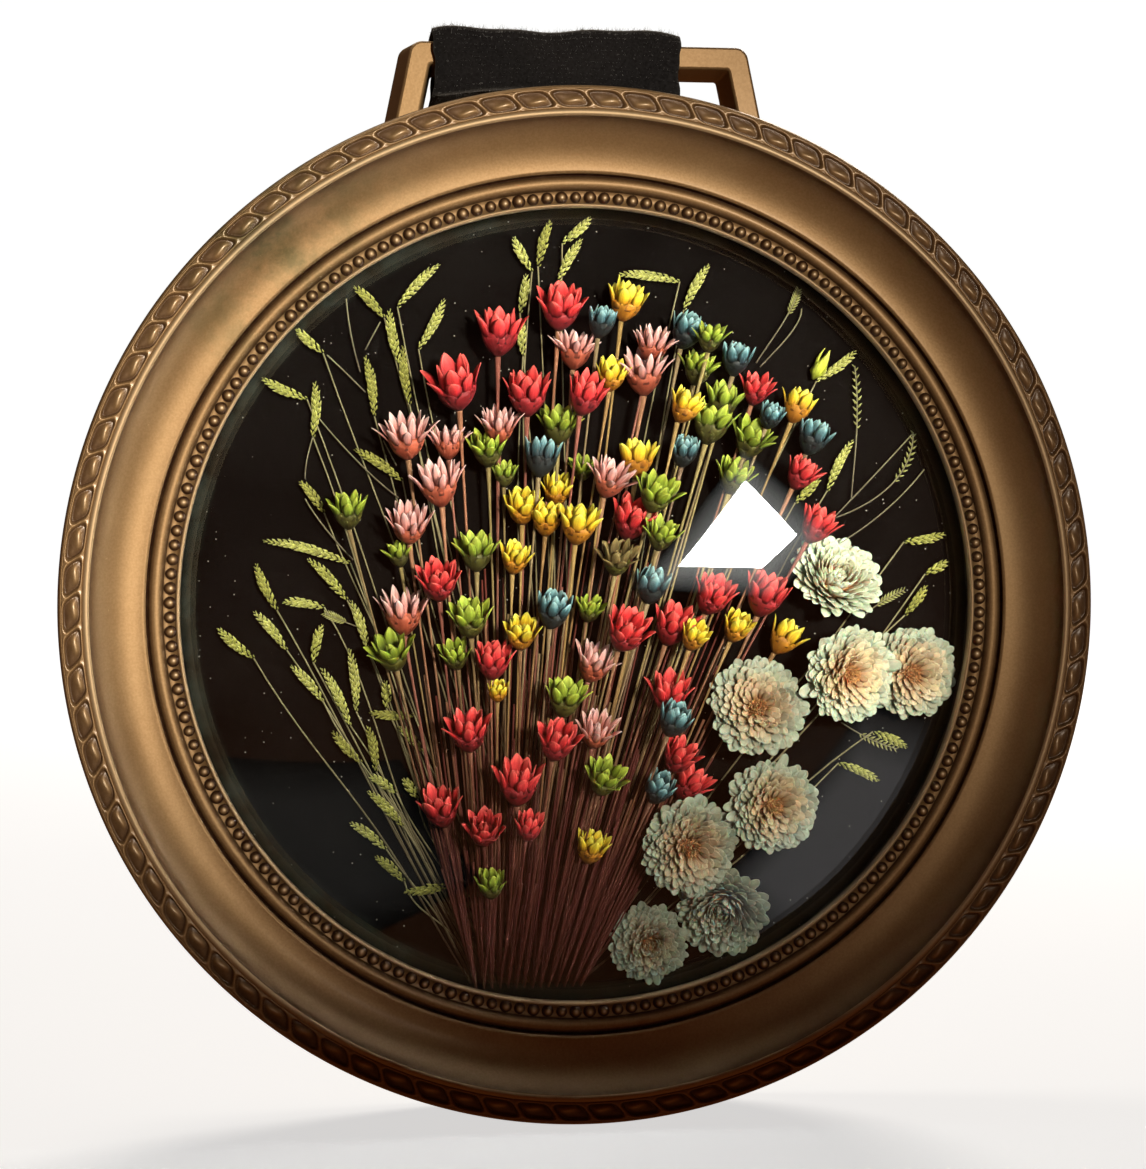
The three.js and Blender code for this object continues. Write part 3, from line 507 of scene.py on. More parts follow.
def with_glaze_and_painted_light(points, start, end=None):
    """The points with a third column: the share of glaze and painted shade, below 0 a painted highlight, even
    or changing from start to end.
    """
    points = np.array(points, dtype=float)
    share = np.linspace(start, start if end is None else end, len(points))
    return np.concatenate([points, share[:, None]], 1)


def bead(start, end, steps, *shares):
    """A stretch of the bead's round back, between two angles."""
    return with_glaze_and_painted_light(arc(BEAD_RADIUS, GROOVE_Y, BEAD_HALF_WIDTH, BEAD_HEIGHT, start, end, steps), *shares)


def glaze_and_painted_light_colours(share):
    """The share of glaze and painted light as the red of a dye, for each point."""
    return np.stack([share.ravel(), 0 * share.ravel(), 0 * share.ravel()], 1)


# The cove is darker under the crest, with glaze and painted shade, and this fades to a trace by its middle
cove = with_glaze_and_painted_light(arc(COVE_FOOT, LEDGE_Y, COVE_WIDTH, COVE_DEPTH, 0, -90, COVE_STEPS), 0)
cove[:, 2] = 0.62 * (1 - ease(np.linspace(0, 1, COVE_STEPS) / 0.55)) + 0.05
moulding_profile = np.concatenate([
    with_glaze_and_painted_light([(103.4, 0), (103.68, -0.3), (103.5, -8), (103.3, -18)], 0.45),
    with_glaze_and_painted_light(arc(102.3, FRONT_Y + 3.3, 0.9, 3.0, 0, 84, 9), 0.3, 0.0),
    with_glaze_and_painted_light([(102.28, LEDGE_Y), (ROPE_OUTER, LEDGE_Y + 0.1), (ROPE_OUTER, ROPE_FLOOR_Y),
            (ROPE_INNER, ROPE_FLOOR_Y), (ROPE_INNER, LEDGE_Y + 0.1), (98.3, LEDGE_Y)], 0.3),
    # The crest's share below 0 is a painted highlight
    with_glaze_and_painted_light(arc(97.6, LEDGE_Y, 0.62, 0.36, 5, 175, 9), -0.45),
    cove,
    with_glaze_and_painted_light([(86.66, -17.6), (86.55, -16.9), (86.4, GROOVE_Y)], 0.95),
    # The bead's flanks are painted darker than its top: painted shade
    bead(0, 60, 6, 0.95, 0.5), bead(70, 120, 5, 0.1), bead(130, 180, 5, 0.4, 0.8),
    with_glaze_and_painted_light([(83.3, FLAT_Y), (80.95, FLAT_Y)], 0.25, 0.0),
    # The lip's share below 0 is a painted highlight
    with_glaze_and_painted_light(arc(80.55, GROOVE_Y, 0.4, 0.5, 20, 180, 7), -0.35),
    with_glaze_and_painted_light([(OPENING_RADIUS, GLASS_SEAT_Y), (POCKET_RADIUS, GLASS_SEAT_Y), (POCKET_RADIUS, BOARD_SEAT_Y),
            (BOARD_POCKET_RADIUS, BOARD_SEAT_Y), (BOARD_POCKET_RADIUS, -0.3), (91.3, 0)], 0.4),
])
casting_glaze_and_painted_light = np.repeat(moulding_profile[:, 2], CASTING_COLUMNS)
moulding = piece("frame_casting", [hoop(turned_rings(moulding_profile, CASTING_COLUMNS),
                                        glaze_and_painted_light_colours(casting_glaze_and_painted_light))], [paint])

# %% [markdown]
# ## The rope band
# Ninety pillows, each in its own sunk cell, with thin raised ridges between them. The band is a
# height map over two directions: a along the band in cells, and c across it from -0.5 inside to
# 0.5 outside. The ends of a cell are S-shaped, because a is shifted by a smooth step of c. The
# cells wander a little along the band, as in a casting from a hand-cut pattern.

# %% Rope band
ROPE_CELLS = 90
CELL_COLUMNS, CELL_ROWS = 20, 25
CELL_SLANT = 0.30
RIDGE_HEIGHT, CELL_DEPTH, PILLOW_RISE, CREASE_RISE = 0.16, 1.20, 0.72, 0.34


def rope_surface(a, c):
    """Height above the ledge in mm, and the share of glaze and painted light. Inside the cell's rounded
    outline the surface drops by a wall, and a pillow that fills the cell rises from there, with one long
    crease. The cell is darker with glaze and painted shade, and the crease is painted bright, a painted
    highlight. Outside the outline is a thin raised ridge. The outline is a superellipse, a rectangle with
    round corners."""
    a = a + CELL_SLANT * (ease(c + 0.5) - 0.5)
    a = a - np.floor(a + 0.5)
    edge = (np.abs(a / 0.455) ** 4.5 + np.abs(c / 0.42) ** 3.6) ** 0.25
    wall = ease((1.0 - edge) / 0.12)
    pillow = np.sqrt(np.clip(1 - edge ** 2.2, 0, 1))
    across = c + 0.12 - 0.35 * a
    crease = np.exp(-(across / 0.13) ** 2) * np.clip(1 - ((a - 0.05) / 0.36) ** 2, 0, 1)
    ridge = np.exp(-((edge - 1.08) / 0.08) ** 2)
    height = RIDGE_HEIGHT * ridge * (1 - wall)
    height += wall * (-CELL_DEPTH + PILLOW_RISE * pillow + CREASE_RISE * crease)
    # Glaze and painted shade in the cell; the crease's share below 0 is a painted highlight
    glaze_and_painted_light = wall * (1.0 - 0.38 * pillow - 1.05 * crease) + (1 - wall) * 0.25 * (1 - ridge)
    return height, np.clip(glaze_and_painted_light, -0.45, 1)


band_angle = np.linspace(0, TURN, ROPE_CELLS * CELL_COLUMNS, endpoint=False)
band_c = np.linspace(-0.5, 0.5, CELL_ROWS)
cell_place, c_place = np.meshgrid(-band_angle * ROPE_CELLS / TURN, band_c)
wander = 0.02 * np.sin(7 * band_angle) + 0.015 * np.sin(23 * band_angle + 1)
rope_height, rope_glaze_and_painted_light = rope_surface(cell_place + wander, c_place)
top_y = LEDGE_Y - rope_height
top_r = ROPE_INNER + (c_place + 0.5) * (ROPE_OUTER - ROPE_INNER)
# The underside stops a tenth of a millimetre in front of the channel's floor
under_r = np.array([ROPE_OUTER, (ROPE_OUTER + ROPE_INNER) / 2, ROPE_INNER])
band_r = np.concatenate([top_r, np.repeat(under_r[:, None], len(band_angle), 1)])
band_y = np.concatenate([top_y, np.full((len(under_r), len(band_angle)), ROPE_FLOOR_Y - 0.1)])
band_rings = np.stack([band_r * np.cos(band_angle), band_y, band_r * np.sin(band_angle)], -1)
band_glaze_and_painted_light = np.concatenate([rope_glaze_and_painted_light, np.ones((len(under_r), len(band_angle)))])
band = piece("rope_band", [hoop(band_rings, glaze_and_painted_light_colours(band_glaze_and_painted_light))], [glossy_paint])

# %% [markdown]
# ## The pearls
# A hundred and eighty small domes in a row. One pearl is a short tube whose rings follow a ball's outline,
# and each of them is that tube turned to its own angle. Round their feet they are dark with glaze and painted
# shade, and their tips are painted light, a painted highlight.

# %% Pearls
PEARLS, PEARL_COLUMNS = 180, 14
PEARL_ROW, PEARL_RADIUS, PEARL_HEIGHT = 82.05, 1.25, 1.3
pearl_angle = (np.arange(PEARLS) + 0.5) / PEARLS * TURN
bow = np.radians([-12, 12, 34, 54, 72, 86])
ball = np.stack([PEARL_RADIUS * np.cos(bow), PEARL_HEIGHT * np.sin(bow)], 1)
# Thick at the feet, glaze and painted shade; below 0 at the tips, a painted highlight
pearl_glaze_and_painted_light = np.repeat(np.array([1.0, 1.0, 1.0, 0.8, -0.1, -0.8]), PEARL_COLUMNS)
round_angle = np.linspace(0, TURN, PEARL_COLUMNS, endpoint=False)
out = ball[:, 0, None] * np.cos(round_angle)
along = ball[:, 0, None] * np.sin(round_angle)
depth = np.repeat(GROOVE_Y + 0.1 - ball[:, 1:], PEARL_COLUMNS, 1)
size = 1 + 0.05 * random.standard_normal((PEARLS, 1, 1))
r = PEARL_ROW + out[None] * size
turn = pearl_angle[:, None, None] + along[None] * size / PEARL_ROW
pearl_rings = np.stack([r * np.cos(turn), np.broadcast_to(depth, r.shape), r * np.sin(turn)], -1)
pearls = piece("pearl_row", [tubes(pearl_rings, glaze_and_painted_light_colours(np.tile(pearl_glaze_and_painted_light, PEARLS)))], [glossy_paint])
for made in (moulding, band, pearls):
    lit_as_frame(made)
    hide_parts("frame_moulding")
    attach(made, "frame_body")

# %% [markdown]
# ## The hanger loop
# Four corners are followed along the loop, from the left foot over the bar to the right foot: the
# outer and inner outline at the front and at the back, where the draft makes it wider. Each ring
# is those four corners, slightly rounded. The back lies a fifth of a millimetre in front of the
# frame's, so that the two faces don't flicker through each other at the feet.

# %% Hanger loop
LOOP_TOP, LOOP_FOOT = 113.2, 92.0
LOOP_FRONT_Y, LOOP_BACK_Y = -12.5, -0.2
LEG_LEAN = 0.21


def loop_outline(top, half_width, radius, depth):
    """One side's outline from foot to foot: two leaning legs and a bar, with round corners."""
    turn = np.linspace(0, math.pi / 2, 7)
    leg_z = np.linspace(LOOP_FOOT, top - radius, 6)[:-1]
    leg_x = half_width + LEG_LEAN * (top - leg_z)
    corner_x = half_width - radius + radius * np.cos(turn) + LEG_LEAN * radius * (1 - np.sin(turn))
    corner_z = top - radius + radius * np.sin(turn)
    x = np.concatenate([leg_x, corner_x])
    z = np.concatenate([leg_z, corner_z])
    bar = np.linspace(-1, 1, 9)[1:-1] * (half_width - radius)
    x = np.concatenate([-x, bar, x[::-1]])
    z = np.concatenate([z, np.full(len(bar), top), z[::-1]])
    return np.stack([x, np.full(len(x), depth), z], 1)


def rounded_corners(corners, radius):
    """Each of a ring's four corners cut to three points, for all rings at once."""
    before, after = np.roll(corners, 1, 1), np.roll(corners, -1, 1)
    back, on = unit(before - corners) * radius, unit(after - corners) * radius
    cut = np.stack([corners + back, corners + (back + on) * 0.3, corners + on], 2)
    return cut.reshape(len(corners), -1, 3)


loop_corners = np.stack([
    loop_outline(LOOP_TOP, 33.8, 2.0, LOOP_FRONT_Y),
    loop_outline(LOOP_TOP + 0.9, 35.8, 2.0, LOOP_BACK_Y),
    loop_outline(LOOP_TOP - 5.1, 29.6, 0.5, LOOP_BACK_Y),
    loop_outline(LOOP_TOP - 4.4, 30.3, 0.5, LOOP_FRONT_Y),
], 1)
loop = piece("hanger_casting", [tubes(rounded_corners(loop_corners, 0.45)[None])], [paint])
lit_as_frame(loop)
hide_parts("hanger_loop")
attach(loop, "frame_body")
rounding = loop.modifiers.new("rounding", "BEVEL")
rounding.width, rounding.segments, rounding.limit_method = 0.2 * MM, 2, "ANGLE"
loop.data.shade_flat()

# %% [markdown]
# ## Velvet
# Velvet is a pile of short fibres that stand up from a weave. Looked at straight on it is black,
# and along its edges the fibre ends catch the light, which the sheen lobe gives. The bump is one
# fibre tuft, about 0.3 mm across, drawn half a millimetre across so that it shows. Specks of dust
# lie on the ground, and its rim, where it was pressed under the card, is worn grey at the left.

# %% Velvet
DUST_CELL = 1.7857
# In metres, from the ground's middle
WORN_RADIUS, WORN_WIDTH = 0.0792, 0.0026


def worn_rim(tree, coordinates):
    """How worn the ground's velvet is: patches on a ring near its rim, stronger to the left."""
    flat = node(tree, "ShaderNodeVectorMath", {"operation": "MULTIPLY"}, _0=coordinates, _1=(1, 0, 1))
    radius = node(tree, "ShaderNodeVectorMath", {"operation": "LENGTH"}, _0=flat.outputs[0]).outputs["Value"]
    off_ring = maths(tree, "ABSOLUTE", maths(tree, "SUBTRACT", radius, WORN_RADIUS))
    ring = maths(tree, "SUBTRACT", 1.0, maths(tree, "DIVIDE", off_ring, WORN_WIDTH), True)
    x = node(tree, "ShaderNodeSeparateXYZ", Vector=coordinates).outputs[0]
    leftward = maths(tree, "MULTIPLY", maths(tree, "SUBTRACT", 0.01, x), 16.0, True)
    patches = ramp(tree, noise(tree, coordinates, 6.25, 5, 0.7), [(0.4, 0x000000), (0.65, 0xFFFFFF)])
    return maths(tree, "MULTIPLY", maths(tree, "MULTIPLY", ring, leftward), patches)


def velvet(name, dust_share, sheen, dark, light, tuft_height, worn=False):
    """Velvet whose tufts go from a dark to a light black. A share of the dust's cells holds a speck."""
    made, tree, shader = new_material(name, Roughness=1.0, Sheen_Weight=sheen, Sheen_Roughness=0.4,
                                      Specular_IOR_Level=0.0)
    shader.inputs["Sheen Tint"].default_value = rgba(0x9A9690)
    coordinates = object_coordinates(tree)
    tufts = noise(tree, coordinates, 0.5556, 3, 0.7)
    brushed = noise(tree, coordinates, 16.67, 3)
    base = mix(tree, 0.5, ramp(tree, tufts, [(0.3, dark), (0.75, light)]),
               ramp(tree, brushed, [(0.3, 0x080707), (0.8, 0x151312)]))
    dots = node(tree, "ShaderNodeTexVoronoi", {"feature": "F1"}, Vector=coordinates,
                Scale=1 / (DUST_CELL * MM))
    small = maths(tree, "LESS_THAN", dots.outputs["Distance"], 0.08)
    chosen = node(tree, "ShaderNodeSeparateColor", Color=dots.outputs["Color"])
    some = maths(tree, "LESS_THAN", chosen.outputs[0], dust_share)
    dust = maths(tree, "MULTIPLY", small, some)
    dusty = mix(tree, maths(tree, "MULTIPLY", dust, 0.6), base, rgba(0xB9B4A8))
    if worn:
        wear = maths(tree, "MULTIPLY", worn_rim(tree, coordinates), 0.35)
        dusty = mix(tree, wear, dusty, rgba(0x414C44))
    tree.links.new(dusty, shader.inputs["Base Color"])
    tree.links.new(bump(tree, tufts, tuft_height), shader.inputs["Normal"])
    return made


ribbon_velvet = velvet("ribbon_velvet", 0.0, 0.6, 0x070707, 0x1E1E1F, 0.16)
ground_velvet = velvet("ground_velvet", 0.35, 0.03, 0x040302, 0x0E0C0A, 0.01, worn=True)

# %% [markdown]
# ## The ribbon
# A 50 mm velvet ribbon is threaded from behind under the bar, up its front and over its top, and
# both tails hang down the back. Its middle line is a few straight runs with rounded corners. The
# sheet is that line carried sideways, with a slight wave where it lies loosely on the bar. It is
# taken as a sheet of one size that is folded, so its length is the line's.

# %% Ribbon
RIBBON_LEFT, RIBBON_WIDTH, RIBBON_THICKNESS = -29.75, 50.0, 1.3
PASS_Z = 105.2
BAR_FRONT_Y = -13.7
OVER_Z = 115.15
RIBBON_TRAVEL = 9.5
# From the line down to the lowest the turn under the bar may hang above the frame's edge
UNDERSIDE = 0.95
INNER_Y, OUTER_Y = 1.25, 2.95
LONGEST_CUT = 4
RIBBON_CORNERS = np.array([
    [INNER_Y + 0.75, PASS_Z - 51.5], [INNER_Y, PASS_Z - 36], [INNER_Y, PASS_Z], [BAR_FRONT_Y, PASS_Z],
    [BAR_FRONT_Y, OVER_Z], [OUTER_Y, OVER_Z], [OUTER_Y, OVER_Z - 46], [OUTER_Y + 0.75, OVER_Z - 65.5],
])


def rounded_line(corners, radius, step):
    """The corner points joined by straight runs, each corner cut by an arc of the radius, and the
    whole sampled at even steps. Gives the points and the length."""
    points = [corners[0]]
    for before, at, after in zip(corners, corners[1:], corners[2:]):
        back, on = unit(before - at), unit(after - at)
        half = math.acos(np.clip(back @ on, -1, 1)) / 2
        reach = min(radius / math.tan(half), LONGEST_CUT) if half > 0.01 else 0
        bow = np.linspace(0, 1, 7)[:, None]
        first, last = at + back * reach, at + on * reach
        points.extend((1 - bow) ** 2 * first + 2 * bow * (1 - bow) * at + bow ** 2 * last)
    points.append(corners[-1])
    points = np.array(points)
    lengths = np.concatenate([[0], np.cumsum(np.linalg.norm(np.diff(points, axis=0), axis=1))])
    at = np.linspace(0, lengths[-1], int(lengths[-1] / step))
    return np.stack([np.interp(at, lengths, points[:, k]) for k in range(2)], 1), lengths[-1]


line, ribbon_length = rounded_line(RIBBON_CORNERS, 1.5, 0.7)
across = np.linspace(0, 1, 42)
from_middle = 2 * across - 1
runs = np.gradient(line, axis=0)
normal = unit(np.stack([-runs[:, 1], runs[:, 0]], 1))
if normal[len(line) // 2, 1] < 0:
    normal = -normal


def ribbon_surface(side):
    """Points at (line, across): the line, moved along its normal by half the thickness to a side,
    with a wave over the bar and the edges drawn in where they turn over it."""
    on_bar = np.exp(-((line[:, 1] - OVER_Z) / 3.2) ** 2)[:, None]
    wave = 0.35 * np.sin(across * 9.4 + 0.6) + 0.18 * np.sin(across * 23)
    lift = on_bar * (wave * (line[:, 0] < 0)[:, None] + 0.15)
    thin = 1 - 0.55 * np.abs(from_middle) ** 14
    off = side * RIBBON_THICKNESS / 2 * thin
    drawn = 0.5 * np.exp(-((line[:, 1] - PASS_Z - 3.5) / 2.5) ** 2)[:, None] * from_middle ** 5
    x = RIBBON_LEFT + across * RIBBON_WIDTH - drawn + 0 * line[:, :1]
    # The turn under the bar hangs down to the frame's round edge, clear of it wherever it slides
    nearest = np.where(x < 0, np.minimum(x + RIBBON_TRAVEL, 0), x)
    room = PASS_Z - UNDERSIDE - np.sqrt(BACK_RADIUS ** 2 - nearest ** 2)
    hang = room * np.exp(-((line[:, 1] - PASS_Z) / 4) ** 2)[:, None]
    x = x + 0.12 * np.sin(line[:, 1:] * 1.9) * (np.abs(from_middle) > 0.9)
    y = line[:, :1] + normal[:, :1] * off
    z = line[:, 1:] + normal[:, 1:] * off + lift - hang
    return np.stack([x, y, z], -1)


outer, inner = ribbon_surface(1), ribbon_surface(-1)
ribbon = piece("ribbon_cloth", [tubes(np.concatenate([outer, inner[:, ::-1]], 1)[None])], [ribbon_velvet])
print("ribbon length", round(ribbon_length, 1), "mm")

# %% [markdown]
# The pile that stands proud is real fibre: eleven thousand thin spikes, each a closed sliver of
# three corners that narrows to its tip. It is longest on top of the bar, and the run that faces
# the backing board has none.

# %% Ribbon pile
FIBRES, FIBRE_RADIUS = 11000, 0.035
open_rows = np.flatnonzero((line[:, 0] < -2) | (line[:, 1] > OVER_Z - 4) | (line[:, 0] > 2.5))[1:-1]
top_rows = np.flatnonzero(line[:, 1] > OVER_Z - 1.5)
on_top = random.random(FIBRES) < 0.3
fibre_row = np.where(on_top, random.choice(top_rows, FIBRES), random.choice(open_rows, FIBRES))
fibre_across = random.random(FIBRES) * (len(across) - 1.001)
low = fibre_across.astype(int)
share = (fibre_across - low)[:, None]
foot = outer[fibre_row, low] * (1 - share) + outer[fibre_row, low + 1] * share
outwards = np.stack([np.zeros(FIBRES), normal[fibre_row, 0], normal[fibre_row, 1]], 1)
lean = unit(outwards + 0.75 * random.standard_normal((FIBRES, 3)))
lean = np.where((lean * outwards).sum(1, keepdims=True) < 0.15, outwards, lean)
tip = foot + lean * (0.25 + (0.4 + 0.6 * on_top[:, None]) * random.random((FIBRES, 1)) ** 2)
aside = unit(np.cross(lean, random.standard_normal((FIBRES, 3)))) * FIBRE_RADIUS
other = unit(np.cross(lean, aside)) * FIBRE_RADIUS
# Three corners a third of a turn apart, sunk a little into the ribbon
base_ring = np.stack([foot + aside, foot - 0.5 * aside + 0.87 * other,
                      foot - 0.5 * aside - 0.87 * other], 1)
base_ring = base_ring - outwards[:, None] * 0.05
tip_ring = np.stack([tip] * 3, 1) + 0.12 * (base_ring - foot[:, None])
pile_material, tree, shader = new_material("velvet_pile_fibre", Roughness=0.6, Sheen_Weight=0.3)
coordinates = object_coordinates(tree)
tree.links.new(ramp(tree, noise(tree, coordinates, 1.111), [(0.35, 0x0E0D0C), (0.7, 0x45433F)]),
               shader.inputs["Base Color"])
pile = piece("ribbon_pile", [tubes(np.stack([base_ring, tip_ring], 1))], [pile_material])
for made in (ribbon, pile):
    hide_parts("velvet_ribbon")
    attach(made, "ribbon_body")

# %% [markdown]
# ## Glass
# A clear bulging pane 1.8 mm thick. Its outline is one arc outside and a smaller one inside, and a
# faint bump gives the unevenness of bent glass. It casts no shadow, because a renderer would
# otherwise leave the flowers dark, where real light goes through.

# %% Domed glass
glass, tree, shader = new_material("clear_domed_glass", Transmission_Weight=1.0, Roughness=0.0, IOR=1.5)
shader.inputs["Base Color"].default_value = rgba(0xF8FBF9)
coordinates = object_coordinates(tree)
tree.links.new(bump(tree, noise(tree, coordinates, 40, 2), 0.03), shader.inputs["Normal"])

GLASS_EDGE = 83.3
GLASS_THICKNESS = 1.8
INNER_GLASS = GLASS_RADIUS - GLASS_THICKNESS
# The arcs stop just short of the pole, so that the caps on it have a size
POLE_GAP = 0.0003


def glass_arc(radius, steps):
    """(r, y) along a cap of a ball, from near its pole to the pane's edge."""
    turn = np.linspace(POLE_GAP, math.asin(GLASS_EDGE / GLASS_RADIUS), steps)
    return np.stack([radius * np.sin(turn), GLASS_CENTRE[1] - radius * np.cos(turn)], 1)


pane_profile = np.concatenate([glass_arc(GLASS_RADIUS, 40), glass_arc(INNER_GLASS, 40)[::-1]])
pane_piece = piece("domed_pane", [tubes(turned_rings(pane_profile, 256)[None])], [glass])
pane_piece.visible_shadow = False
glass_only.objects.link(pane_piece)
shut_out(all_but_glass, pane_piece)
shut_out(all_but_frame, pane_piece)
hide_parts("domed_glass")
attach(pane_piece, "frame_body")

# %% [markdown]
# ## Ground, spacer, backing board and tacks
# The velvet ground and the board are discs with a rounded edge. The spacer keeps its CAD shape and
# gets a matt card finish. The board is pressed wood fibre, with strands that lie mostly one way.
# The tacks are plain steel with flat round heads.

# %% Velvet ground
# A disc's outline starts this far from its middle, so that its cap has a size
HUB = 0.05
VELVET_FRONT_Y, VELVET_BACK_Y = -4.7, -3.3


def disc_profile(radius, front, back, bevel):
    """(r, y) of a thin disc from the middle of its front to the middle of its back."""
    return np.array([[HUB, front], [radius * 0.4, front], [radius * 0.8, front], [radius - bevel, front],
                     [radius, front + bevel], [radius, back - bevel], [radius - bevel, back],
                     [radius * 0.5, back], [HUB, back]])


ground_profile = disc_profile(GLASS_EDGE, VELVET_FRONT_Y, VELVET_BACK_Y, 0.2)
ground = piece("velvet_backdrop", [tubes(turned_rings(ground_profile, 180)[None])], [ground_velvet])
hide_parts("velvet_ground")
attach(ground, "frame_body")

# %% Card spacer
card, tree, shader = new_material("black_card", Roughness=0.9)
coordinates = object_coordinates(tree)
tree.links.new(ramp(tree, noise(tree, coordinates, 1.111), [(0.3, 0x0E0C0A), (0.7, 0x241F1A)]),
               shader.inputs["Base Color"])
tree.links.new(bump(tree, noise(tree, coordinates, 0.6667), 0.03), shader.inputs["Normal"])
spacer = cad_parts["spacer_ring"]
spacer.data.materials.clear()
spacer.data.materials.append(card)

# %% Backing board
hardboard, tree, shader = new_material("pressed_hardboard", Roughness=0.8)
coordinates = object_coordinates(tree)
fibre = node(tree, "ShaderNodeMapping", Vector=coordinates, Scale=(1, 1, 0.25)).outputs[0]
strands = noise(tree, fibre, 1.111, 6, 0.7)
flecks = noise(tree, coordinates, 4.167, 4, 0.6)
wood = mix(tree, 0.45, ramp(tree, strands, [(0.3, 0x4C3420), (0.7, 0x8E6B45)]),
           ramp(tree, flecks, [(0.3, 0x5B3F26), (0.7, 0x9C7850)]))
tree.links.new(wood, shader.inputs["Base Color"])
tree.links.new(bump(tree, strands, 0.08), shader.inputs["Normal"])
BOARD_RADIUS, BOARD_FRONT_Y = 90.7, -3.0
board_profile = disc_profile(BOARD_RADIUS, BOARD_FRONT_Y, 0.0, 0.25)
board = piece("backing_disc", [tubes(turned_rings(board_profile, 240)[None])], [hardboard])
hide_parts("backing_board")
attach(board, "frame_body")

# %% Tacks
steel, tree, shader = new_material("plain_steel", Metallic=1.0)
shader.inputs["Base Color"].default_value = rgba(0x9A9C9E)
coordinates = object_coordinates(tree)
dulled = maths(tree, "MULTIPLY", noise(tree, coordinates, 0.8333), 0.3)
tree.links.new(maths(tree, "ADD", 0.28, dulled), shader.inputs["Roughness"])
TACKS, TACK_CIRCLE, SHANK_RADIUS = 6, 87.3, 0.7
# From the point, up the shank, to the underside and the top of the head
tack_profile = np.array([[HUB, -11.9], [0.6, -10.4], [SHANK_RADIUS, -10.2], [SHANK_RADIUS, -1.3],
                         [2.0, -0.3], [2.2, 0.0], [1.9, 0.12], [HUB, 0.2]])
tack_angle = (np.arange(TACKS) + 0.5) / TACKS * TURN
tack_place = np.stack([TACK_CIRCLE * np.cos(tack_angle), 0 * tack_angle, TACK_CIRCLE * np.sin(tack_angle)], 1)
tack_rings = turned_rings(tack_profile, 20)[None] + tack_place[:, None, None]
tacks = piece("tack_heads", [tubes(tack_rings)], [steel])
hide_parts(*[f"backing_tack_{i + 1}" for i in range(TACKS)])
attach(tacks, "frame_body")

# %% [markdown]
# ## Dried plants
# Petals, bracts and stems are dry plant skin: matt, slightly see-through at the edge, and veined
# lengthwise. Each vertex carries its own dye, so that one material serves every flower, and the
# veins follow the petal's own map: u round it and v from its foot to its tip.

# %% Plant materials
def plant(name, vein_strength, roughness, subsurface=0.0):
    """Dry plant skin: the dye, darkened along fine veins and in blotches 1.4 mm across."""
    made, tree, shader = new_material(name, Roughness=roughness, Subsurface_Weight=subsurface,
                                      Subsurface_Scale=0.0004, Specular_IOR_Level=0.3)
    dye = node(tree, "ShaderNodeVertexColor", {"layer_name": "dye"}).outputs["Color"]
    own = node(tree, "ShaderNodeUVMap", {"uv_map": "UVMap"}).outputs["UV"]
    stretched = node(tree, "ShaderNodeMapping", Vector=own, Scale=(10.0, 1.2, 1.0)).outputs[0]
    # The map has no millimetres: it runs from 0 to 1 round the petal and from its foot to its tip
    veins = node(tree, "ShaderNodeTexNoise", Vector=stretched, Scale=1.0, Detail=3).outputs["Fac"]
    blotches = noise(tree, object_coordinates(tree), 1.4286, 3)
    vein_shade = ramp(tree, veins, [(0.3, 0x5A5048), (0.7, 0xFFFFFF)])
    blotch_shade = ramp(tree, blotches, [(0.3, 0x8A8078), (0.7, 0xFFFFFF)])
    mottled = mix(tree, 0.3, mix(tree, vein_strength, dye, vein_shade, "MULTIPLY"), blotch_shade, "MULTIPLY")
    tree.links.new(mottled, shader.inputs["Base Color"])
    tree.links.new(bump(tree, veins, 0.12), shader.inputs["Normal"])
    return made


petal_skin = plant("dried_petal", 0.6, 0.6, 0.08)
stem_skin = plant("dried_stem", 0.4, 0.7)
paper_petal = plant("papery_petal", 0.3, 0.6, 0.3)
grass_skin = plant("dried_grass_husk", 0.5, 0.7)


def along_blade(rows):
    """Shares of a blade's length at its rings, closer together towards the round tip."""
    return np.sin(np.linspace(0, math.pi / 2, rows))


def blades(feet, axes, outs, lengths, widths, flare, curl, cup, thickness, rows, profile):
    """Many flat pointed tubes at once: petals, bracts or husks. Each starts at its foot and runs
    along its axis, leaning out by the angle flare, which grows by curl up to the tip. widths are
    half-widths, profile gives the width's share along it, and cup lifts its edges to the axis."""
    s = along_blade(rows)
    angle = flare[:, None] + curl[:, None] * s
    step = lengths[:, None] * np.diff(s)
    out = np.concatenate([np.zeros((len(feet), 1)), np.cumsum(np.sin(angle[:, :-1]) * step, 1)], 1)
    up = np.concatenate([np.zeros((len(feet), 1)), np.cumsum(np.cos(angle[:, :-1]) * step, 1)], 1)
    spine = feet[:, None] + axes[:, None] * up[..., None] + outs[:, None] * out[..., None]
    side = unit(np.cross(axes, outs))[:, None]
    inward = unit(axes[:, None] * np.sin(angle)[..., None] - outs[:, None] * np.cos(angle)[..., None])
    width = widths[:, None] * profile(s)
    # Six points round the blade: its two edges, and two on its inner and two on its outer side
    u = np.array([-1, -0.45, 0.45, 1, 0.45, -0.45])
    over = np.array([0, 0.5, 0.5, 0, -0.5, -0.5]) * thickness
    rise = cup * width[..., None] * u ** 2 + over
    sideways = side[:, :, None] * (width[..., None] * u)[..., None]
    return spine[:, :, None] + sideways + inward[:, :, None] * rise[..., None]


def petal_width(s):
    """Share of a petal's width: widest past its middle, with a round tip that is a little pointed."""
    return (0.66 + 0.34 * np.sin(np.pi * s ** 1.1)) * (1 - s ** 4) ** 0.7 + 0.03


def basis(direction):
    """Two unit vectors square to each direction, for rings round it."""
    a = unit(np.cross(direction, np.array([0.13, 0.98, 0.11])))
    return a, np.cross(direction, a)


